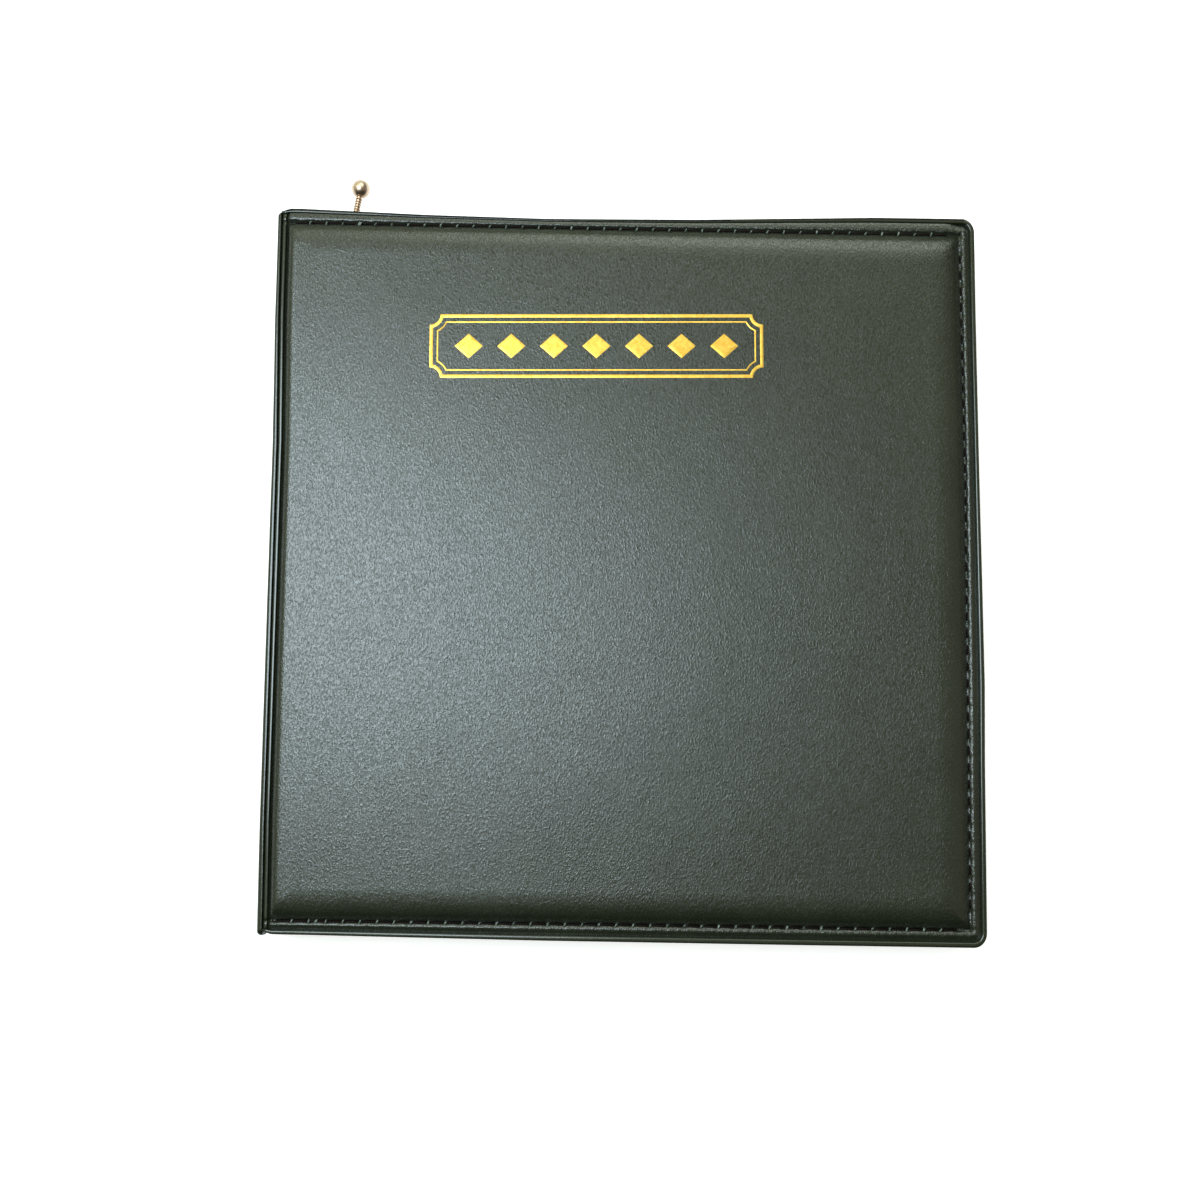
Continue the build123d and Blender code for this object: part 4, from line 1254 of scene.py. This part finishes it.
def turnedPiece(name, profile, material):
    # a lathed part about the pen's axis, from (distance along, radius) places
    n = penAxis["segments"]
    angles = np.linspace(0, 2 * math.pi, n, endpoint=False)[:, None]
    start = np.array(penAxis["tip"] + (penAxis["height"],))
    ring = np.cos(angles) * penSide + np.sin(angles) * upward
    points = np.concatenate([start + along * penWay + radius * ring for along, radius in profile])
    faces = []
    for k in range(len(profile) - 1):
        for j in range(n):
            faces.append((k * n + j, (k + 1) * n + j, (k + 1) * n + (j + 1) % n, k * n + (j + 1) % n))
    faces.append(tuple(range(n)))
    faces.append(tuple((len(profile) - 1) * n + j for j in reversed(range(n))))
    return makePiece(name, points, faces, material, sharp=38)


# the barrel has a plain nose cone, a joint ring and a shoulder; the neck is ribbed under its ball
neckEnd = penAxis["length"] - 2 * penAxis["ball"] + 0.05
neckStart = neckEnd - penAxis["neckLength"]
nose, core, thickest = penAxis["nose"], penAxis["core"], penAxis["barrel"]
barrel = [(0.1, penAxis["tipRadius"]), (0.5, 0.72), (1.4, 0.80), (1.5, 0.95), (6.0, 1.32),
          (nose - 0.4, 1.62), (nose - 0.15, 1.60), (nose - 0.1, 1.55), (nose + 0.05, 1.55),
          (nose + 0.1, 1.66), (nose + 0.3, thickest), (40, thickest), (70, thickest),
          (neckStart - 0.5, thickest), (neckStart - 0.15, 1.6), (neckStart, 1.4), (neckStart, core)]
rib = ((0.0, 0.0), (0.10, 0.75), (0.22, 1.0), (0.32, 0.75), (0.44, 0.0))
finial = [(neckStart - 0.02, core)]
for number in range(int(penAxis["neckLength"] / penAxis["ribPitch"])):
    foot = neckStart + 0.1 + number * penAxis["ribPitch"]
    finial += [(foot + along, core + out * (penAxis["neck"] - core)) for along, out in rib]
ballAt = penAxis["length"] - penAxis["ball"]
for angle in np.linspace(math.asin(core / penAxis["ball"]), math.pi - 0.02, 26):
    finial.append((ballAt - penAxis["ball"] * math.cos(angle), penAxis["ball"] * math.sin(angle)))
point = [(-0.78, 0.16), (-0.7, 0.3), (-0.4, penAxis["refill"]), (0.6, penAxis["refill"])]
for name, profile, material, nodes, label in (
        ("pen_barrel_and_nose", barrel, penBrass, ("pen_barrel", "pen_nose"), "pen_brass"),
        ("pen_ball_and_neck", finial, penBrass, ("pen_finial",), "pen_brass"),
        ("pen_writing_point", point, refillBrass, ("pen_refill",), "refill")):
    piece = turnedPiece(name, profile, material)
    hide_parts(*nodes)
    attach(piece, "pen")

for place, label in zip(loopBand["places"], ("lower", "upper")):
    floorZ = boxOf("pen_loop_" + label)[0][2] + loopBand["thick"] / 2
    r, axisZ = loopBand["radius"], penAxis["height"]
    arc = [(-r * math.cos(t), axisZ + r * math.sin(t)) for t in np.linspace(0, math.pi, 15)]
    legs = roundedPath([(-loopBand["foot"], floorZ), (-r, floorZ), (-r, axisZ)], loopBand["round"], 1.2)
    path = np.concatenate([legs[:-1], arc, (legs * (-1, 1))[::-1][1:]])
    centre = np.array(penAxis["tip"] + (0,)) + (place + loopBand["width"] / 2) * penWay
    band, flat = bandPiece("pen_loop_band_" + label, path, centre, penSide, penWay, loopBand["width"],
                           loopBand["thick"], elasticBraid)
    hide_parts("pen_loop_" + label)
    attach(band, "back_cover")
    runs = []
    for offset in loopTack["offsets"]:
        tackRun = np.linspace(-loopTack["half"], loopTack["half"], 8)[:, None]
        line = centre + offset * penSide + tackRun * penWay
        line[:, 2] = floorZ + loopTack["lift"]
        runs.append(sewnLine(line, loopTack["pitch"], loopTack["seed"], loopTack))
    tacks = joined("pen_loop_tacks_" + label, runs)
    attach(tacks, "back_cover")
print("pen and loops made")


# patch pockets of the cover's leatherette, sewn to the front lining

pocketSheet = dict(thick=0.6, flange=4.2, corner=7.0, cornerSize=12.0, hem=6.5, hemThick=0.45, sag=0.12,
                   sagSize=16, mouthSag=0.45, seamInset=2.4, seamEnd=1.5, seamCorner=5.5, mouthSeam=1.6)
pocketStitch = dict(length=3.2, width=0.6, arch=-0.5)
pocketPitch = 4.4
# the side wall, from the flange over its foot to the face: offset inward, and share of the full height
wall = ([-4.2, -3.8, -2.4, -1.2, -0.55, -0.15, 0.05, 0.15, 0.2, 0.3, 0.62, 1.3, 2.6],
        [0.055, 0.06, 0.06, 0.065, 0.10, 0.20, 0.38, 0.58, 0.74, 0.87, 0.95, 0.99, 1.0])


def patchPocket(name, node, mouthAlongX, notch, bulge, seed):
    # a pocket over the box of its CAD node: closed at its low end, open at its high end, and flanged
    # and sewn on three sides
    low, high = boxOf(node)
    p = pocketSheet
    along, across = (0, 1) if mouthAlongX else (1, 0)
    length, width = high[along] - low[along], high[across] - low[across]
    hem = length - p["hem"]
    rootZ, faceZ = high[2], low[2] + p["thick"] / 2
    offsets, heights = np.array(wall[0]), np.array(wall[1])
    u = np.concatenate([offsets, np.arange(5.0, hem - 4, 2.5), np.linspace(hem - 2.5, length, 12)])
    v = np.linspace(4.2, width - 4.2, int((width - 8.4) / 1.6))
    v = np.concatenate([offsets, v, (width - offsets)[::-1]])
    gridU, gridV = np.meshgrid(u, v, indexing="ij")
    edgeV = np.minimum(gridV, width - gridV)
    height = np.minimum(np.interp(gridU, offsets, heights), np.interp(edgeV, offsets, heights))
    bentU, bentV = bentCorner(gridU + p["flange"], edgeV + p["flange"], p["corner"], p["cornerSize"])
    placeU, edgePlace = bentU - p["flange"], bentV - p["flange"]
    placeV = np.where(gridV < width / 2, edgePlace, width - edgePlace)
    # its face bulges over what it holds, sags a little and dips at the mouth
    inner = smoothStep(0.6, 26, gridU) * smoothStep(0.6, 22, edgeV)
    sag = p["sag"] * smoothStep(1, 8, edgeV) * softNoise(placeU, placeV, p["sagSize"], seed)
    sag = sag - p["mouthSag"] * smoothStep(length - 22, length, gridU) * smoothStep(6, 30, edgeV)
    z = rootZ - height * (rootZ - faceZ) - inner * bulge + sag
    if notch:
        t = np.clip(np.abs(gridV - width / 2) / (notch * 1.18), 0, 1)
        dip = notch * (1 - t ** 2.4) ** 0.62
        placeU = placeU - dip * smoothStep(length * 0.6, length, gridU) * gridU / length
    thick = p["thick"] + p["hemThick"] * smoothStep(hem - 0.25, hem, gridU)
    places = np.zeros(gridU.shape + (3,))
    places[..., along] = low[along] + placeU
    places[..., across] = low[across] + placeV
    places[..., 2] = z
    way = -1 if mouthAlongX else 1
    pocket, flat = sheetPiece(name, places[:, ::way], thick[:, ::way], pocketVinyl)
    storeValues(pocket, "polish", np.zeros(len(pocket.data.vertices)))
    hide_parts(node)
    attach(pocket, "front_cover")
    # border stitches round three sides, and one row along the turned mouth
    s = p["seamInset"]
    end = length - p["seamEnd"]
    route = roundedPath([(end, -s), (-s, -s), (-s, width + s), (end, width + s)], p["seamCorner"], 2.0)
    line = np.zeros((len(route), 3))
    line[:, along], line[:, across] = low[along] + route[:, 0], low[across] + route[:, 1]
    line[:, 2] = rootZ - wall[1][1] * (rootZ - faceZ) - p["thick"] / 2 + 0.02
    row = int(np.argmin(np.abs(u - (hem + p["mouthSeam"]))))
    mouth = places[row][(v > 3.5) & (v < width - 3.5)].copy()
    mouth[:, 2] -= 0.5 * (p["thick"] + p["hemThick"]) - 0.02
    sewn = joined(name + "_stitches", [sewnLine(line, pocketPitch, seed, pocketStitch),
                                       sewnLine(mouth, pocketPitch, seed + 1, pocketStitch)])
    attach(sewn, "front_cover")


patchPocket("score_pad_pocket", "pad_pocket", True, 13.0, 0.25, 4)
patchPocket("tile_pouch_pocket", "pouch_pocket", False, 0.0, 0.9, 8)
print("pockets sewn")


# score pad: a gummed stack of leaves, its top leaf ruled and curled, bound with cloth tape

leafStack = dict(count=22, leafThick=0.13, margin=0.3, first=0.45, gap=0.1, slip=0.22, twist=0.0016, seed=5)
topLeaf = dict(thick=0.11, margin=0.2, curl=0.9, curlWidth=42)
padTape = dict(thick=0.34, inset=0.2, round=0.8)


def stackTree():
    # leaves repeated up a line, each slipped and twisted a little
    tree, given = newGeometryTree("leavesInStack", "Leaf", "Stack", {
        "Count": ("Int", 20), "Rise": ("Float", 0.0002), "Slip": ("Float", 0.0002), "Twist": ("Float", 0.001),
        "Seed": ("Int", 1), "Material": ("Material", None)})
    rise = addNode(tree, "ShaderNodeCombineXYZ", {"Z": given["Rise"]})
    line = addNode(tree, "GeometryNodeMeshLine", {"Count": given["Count"], "Offset": rise}, mode="OFFSET")
    away = addNode(tree, "FunctionNodeRandomValue", {0: (-1, -1, 0), 1: (1, 1, 0), "Seed": given["Seed"]},
                   data_type="FLOAT_VECTOR")
    slip = addNode(tree, "ShaderNodeVectorMath", {0: away, "Scale": given["Slip"]}, operation="SCALE")
    slipped = addNode(tree, "GeometryNodeSetPosition", {"Geometry": line, "Offset": slip})
    turn = addNode(tree, "FunctionNodeRandomValue", {2: -1.0, 3: 1.0, "Seed": given["Seed"]},
                   data_type="FLOAT").outputs[1]
    twist = addNode(tree, "ShaderNodeMath", {0: turn, 1: given["Twist"]}, operation="MULTIPLY")
    angles = addNode(tree, "ShaderNodeCombineXYZ", {"Z": twist})
    twisted = addNode(tree, "FunctionNodeEulerToRotation", {"Euler": angles})
    leaves = addNode(tree, "GeometryNodeInstanceOnPoints", {"Points": slipped, "Instance": given["Leaf"],
                     "Rotation": twisted})
    solid = addNode(tree, "GeometryNodeRealizeInstances", {0: leaves})
    finished = addNode(tree, "GeometryNodeSetMaterial", {"Geometry": solid, "Material": given["Material"]})
    addNode(tree, "NodeGroupOutput", {0: finished})
    return tree


padLow, padHigh = boxOf("score_pad_sheets")
padCentre, padHalf = (padLow + padHigh) / 2, (padHigh - padLow) / 2
halfLeaf = np.array([padHalf[0] - leafStack["margin"], padHalf[1] - leafStack["margin"],
                     leafStack["leafThick"] / 2])
square = ((-1, -1), (1, -1), (1, 1), (-1, 1))
corners = [(sx, sy, sz) * halfLeaf for sz in (-1, 1) for sx, sy in square]
sides = [(3, 2, 1, 0), (4, 5, 6, 7)] + [(k, (k + 1) % 4, 4 + (k + 1) % 4, 4 + k) for k in range(4)]
stack = makePiece("score_pad_leaves", corners, sides, padPaper, smooth=False)
bottomZ = padLow[2] + leafStack["first"]
rise = (padHigh[2] - leafStack["gap"] - bottomZ) / (leafStack["count"] - 1)
applyTree(stack, stackTree(), {"Count": leafStack["count"], "Rise": rise * mm,
                               "Slip": leafStack["slip"] * mm, "Twist": leafStack["twist"],
                               "Seed": leafStack["seed"], "Material": padPaper})
stack.data.transform(Matrix.Translation(Vector((padCentre[0], padCentre[1], bottomZ)) * mm))
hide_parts("score_pad_sheets")
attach(stack, "score_pad")

# the top leaf lifts along its free end, most at one corner
xs = np.concatenate([np.linspace(padLow[0] + topLeaf["margin"], padHigh[0] - 40, 8),
                     np.linspace(padHigh[0] - 36, padHigh[0], 16)])
gridX, gridY = np.meshgrid(xs, np.linspace(padLow[1], padHigh[1], 24), indexing="ij")
lift = topLeaf["curl"] * smoothStep(padHigh[0] - topLeaf["curlWidth"], padHigh[0] + 6, gridX)
lift = lift * smoothStep(padHigh[1] + 20, padLow[1] - 14, gridY)
places = np.stack([gridX, gridY, padLow[2] + leafStack["gap"] - lift], -1)
ruledLeaf, flat = sheetPiece("score_pad_top_leaf", places, topLeaf["thick"], padRuled)
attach(ruledLeaf, "score_pad")

low, high = boxOf("score_pad_binding")
under, over, back = low[2] + padTape["inset"], high[2] - padTape["inset"], low[0] + padTape["inset"]
tapePath = roundedPath([(high[0], over), (back, over), (back, under), (high[0], under)],
                       padTape["round"], 2.0)
tape, flat = bandPiece("score_pad_tape", tapePath, (0, (low[1] + high[1]) / 2, 0), (1, 0, 0), (0, 1, 0),
                       high[1] - low[1] - 2 * padTape["inset"], padTape["thick"], bindingCloth)
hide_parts("score_pad_binding")
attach(tape, "score_pad")
print("score pad made")


# tile pouch: a canvas bag blown up by a short cloth simulation, then pressed to its depth by the pocket

bag = dict(cell=3.3, start=0.9, squeeze=0.045, pressure=4.5, tension=18.0, bending=0.2, quality=6, frames=20,
           pressed=0.93, edgeRound=3.6, edgePower=2.4, pucker=0.10, puckerSize=7, sideWave=0.012, waveSize=21,
           tileSize=12.5, tiles=34, tileMark=0.38, seed=7)
bagLow, bagHigh = boxOf("tile_pouch")
bagCentre, bagHalf = (bagLow + bagHigh) / 2, (bagHigh - bagLow) / 2


def pillow():
    # two layers of cloth cells joined at their edges, with drawn-in corners
    nx, ny = int(2 * bagHalf[0] / bag["cell"]), int(2 * bagHalf[1] / bag["cell"])
    points, index = [], {}

    def key(layer, i, j):
        return (0 if i in (0, nx) or j in (0, ny) else layer, i, j)

    for layer in (-1, 1):
        for i in range(nx + 1):
            for j in range(ny + 1):
                if key(layer, i, j) not in index:
                    index[key(layer, i, j)] = len(points)
                    a, b = i / nx * 2 - 1, j / ny * 2 - 1
                    squeeze = 1 - bag["squeeze"] * (abs(a) * abs(b)) ** 6
                    points.append((a * bagHalf[0] * squeeze, b * bagHalf[1] * squeeze,
                                   key(layer, i, j)[0] * bag["start"]))
    faces = []
    for layer in (-1, 1):
        for i in range(nx):
            for j in range(ny):
                ring = [(i, j), (i + 1, j), (i + 1, j + 1), (i, j + 1)]
                faces.append([index[key(layer, a, b)] for a, b in ring][::layer])
    return makePiece("tile_pouch_bag", points, faces, pouchCanvas)


def inflate(piece):
    # a short seeded run of cloth under pressure, applied to the mesh
    cloth = piece.modifiers.new("inflate", "CLOTH")
    cloth.settings.use_pressure = True
    cloth.settings.uniform_pressure_force = bag["pressure"]
    cloth.settings.effector_weights.gravity = 0
    cloth.settings.tension_stiffness = bag["tension"]
    cloth.settings.compression_stiffness = bag["tension"]
    cloth.settings.bending_stiffness = bag["bending"]
    cloth.settings.quality = bag["quality"]
    cloth.collision_settings.use_collision = False
    cloth.point_cache.frame_start, cloth.point_cache.frame_end = 1, bag["frames"]
    for number in range(1, bag["frames"] + 1):
        scene.frame_set(number)
    bakeModifiers(piece)
    scene.frame_set(1)


def tileMarks(spread):
    # how far the tiles inside push the cloth out, at each place given as a share of the bag's half size
    draw = np.random.default_rng(bag["seed"])
    marks = np.zeros(len(spread))
    for number in range(bag["tiles"]):
        cx, cy, angle = draw.uniform(-0.85, 0.85), draw.uniform(-0.9, 0.7), draw.uniform(0, math.pi / 2)
        dx, dy = (spread[:, 0] - cx) * bagHalf[0], (spread[:, 1] - cy) * bagHalf[1]
        along = np.abs(dx * math.cos(angle) + dy * math.sin(angle))
        across = np.abs(dy * math.cos(angle) - dx * math.sin(angle))
        tile = 1 - smoothStep(bag["tileSize"] / 2 - 1.2, bag["tileSize"] / 2 + 1.6, np.maximum(along, across))
        marks = np.maximum(marks, tile * draw.uniform(0.5, 1.0))
    return marks


pouch = pillow()
inflate(pouch)
fine = pouch.modifiers.new("fine", "SUBSURF")
fine.levels = fine.render_levels = 1
bakeModifiers(pouch)
places = placesOf(pouch.data)
places -= (places.max(axis=0) + places.min(axis=0)) / 2
reach = np.abs(places).max(axis=0)
print("pouch after simulation, half sizes in mm:", [round(float(v), 1) for v in reach])
# the pressed bag: full in the middle, rounded and puckered at its seams, with the tiles showing through
spread = places / reach
edge = np.minimum((1 - np.abs(spread[:, 0])) * bagHalf[0], (1 - np.abs(spread[:, 1])) * bagHalf[1])
near = 1 - np.clip(edge / bag["edgeRound"], 0, 1)
crimp = softNoise(places[:, 0] + places[:, 1] * 0.3, places[:, 1], bag["puckerSize"], 5.0)
pucker = 1 - bag["pucker"] * (1 - smoothStep(3, 11, edge)) * np.abs(crimp)
body = np.sign(spread[:, 2]) * (1 - near ** bag["edgePower"]) ** (1 / bag["edgePower"]) * pucker
z = bagHalf[2] * bag["pressed"] * body
z = z + np.sign(body) * smoothStep(2.5, 9, edge) * (tileMarks(spread) - 0.5) * bag["tileMark"]
sideways = softNoise(places[:, 1], places[:, 2], bag["waveSize"], 3.0)
x = bagHalf[0] * spread[:, 0] * (1 - bag["sideWave"] * sideways)
places = np.stack([x, bagHalf[1] * spread[:, 1], np.clip(z, -bagHalf[2], bagHalf[2])], -1) + bagCentre
pouch.data.vertices.foreach_set("co", (places * mm).ravel())
pouch.data.shade_smooth()
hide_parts("tile_pouch")
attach(pouch, "tile_pouch")


# the pouch's flap folds over its mouth and is hemmed; it lies flat round the press stud

flap = dict(thick=0.62, corner=9.0, fold=3.4, mouthGap=0.35, under=0.33, sag=0.22, sagSize=15, edgeSag=0.5,
            stud=(59.0, 74.0), studReach=(6, 14), hemInset=3.0, hemCorner=7.0, columns=41)
hemStitch = dict(length=2.2, width=0.5, arch=-0.4)
hemPitch = 3.2
flapLow, flapHigh = boxOf("pouch_flap")
faceZ = flapLow[2] + flap["under"]
mouthY = bagHigh[1] + flap["mouthGap"]
run = roundedPath([(bagHigh[1] - 2.2, bagCentre[2] + 1.0), (mouthY, bagCentre[2] + 0.4), (mouthY, faceZ),
                   (flapLow[1], faceZ)], flap["fold"], 1.6)
gridV, gridK = np.meshgrid(np.linspace(-1, 1, flap["columns"]), np.arange(len(run)), indexing="xy")
flapY, flapZ = run[:, 0][gridK], run[:, 1][gridK]
nearEnd = np.clip(flap["corner"] - (flapY - flapLow[1]), 0, flap["corner"])
halfFlap = (flapHigh[0] - flapLow[0]) / 2
half = halfFlap - (flap["corner"] - np.sqrt(np.clip(flap["corner"] ** 2 - nearEnd ** 2, 0, None)))
half = np.where(flapZ > faceZ + 2.5, halfFlap, half)
flapX = (flapLow[0] + flapHigh[0]) / 2 + gridV * half
sag = flap["sag"] * softNoise(flapX, flapY, flap["sagSize"], 4.0)
sag = sag + flap["edgeSag"] * smoothStep(0.55, 1.0, np.abs(gridV))
sag = sag * smoothStep(*flap["studReach"], np.hypot(flapX - flap["stud"][0], flapY - flap["stud"][1]))
flapPlaces = np.stack([flapX, flapY, flapZ + sag * smoothStep(bagHigh[1] + 0.3, bagHigh[1] - 5, flapY)], -1)
pouchFlap, flat = sheetPiece("tile_pouch_flap", flapPlaces[:, ::-1], flap["thick"], pouchCanvas)
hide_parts("pouch_flap")
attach(pouchFlap, "tile_pouch")

# the hem's stitches lie on the flap's surface, found by a ray from below
left, right = flapLow[0] + flap["hemInset"], flapHigh[0] - flap["hemInset"]
foot, head = flapLow[1] + flap["hemInset"], bagHigh[1] - 5
route = roundedPath([(left, head), (left, foot), (right, foot), (right, head)], flap["hemCorner"], 2.0)
surface = BVHTree.FromPolygons([v.co for v in pouchFlap.data.vertices],
                               [p.vertices for p in pouchFlap.data.polygons])
line = []
for x, y in route:
    hit = surface.ray_cast(Vector((x, y, 0)) * mm, Vector((0, 0, 1)))[0]
    if hit is not None:
        line.append((x, y, hit.z / mm + 0.02))
flapSeam = joined("tile_pouch_flap_stitches", [sewnLine(line, hemPitch, 41, hemStitch)])
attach(flapSeam, "tile_pouch")
print("pouch and flap made")


# materials on the frame's own nodes; a later word wins over an earlier one

carried = {
    "foam": foamPlastic, "stiffener": greyBoard, "lining": liningTaffeta, "board_plate": trayPlastic,
    "board_print": boardPrint, "board_grid": boardPlastic, "pen_": penBrass, "refill": refillBrass,
    "loop": elasticBraid, "rack_strap": elasticBraid, "tile_rack": rackPlastic, "tile_pouch": pouchCanvas,
    "pouch_flap": pouchCanvas, "stud": studMetal, "letter_tiles": tilePlastic, "pocket": pocketVinyl,
    "sheets": padPaper, "backing": padCard, "binding": bindingCloth,
}
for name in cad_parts:
    node = bpy.data.objects.get(name)
    for word, material in carried.items():
        if node is not None and word in name:
            for slot in node.material_slots:
                slot.material = material

print("scene complete")
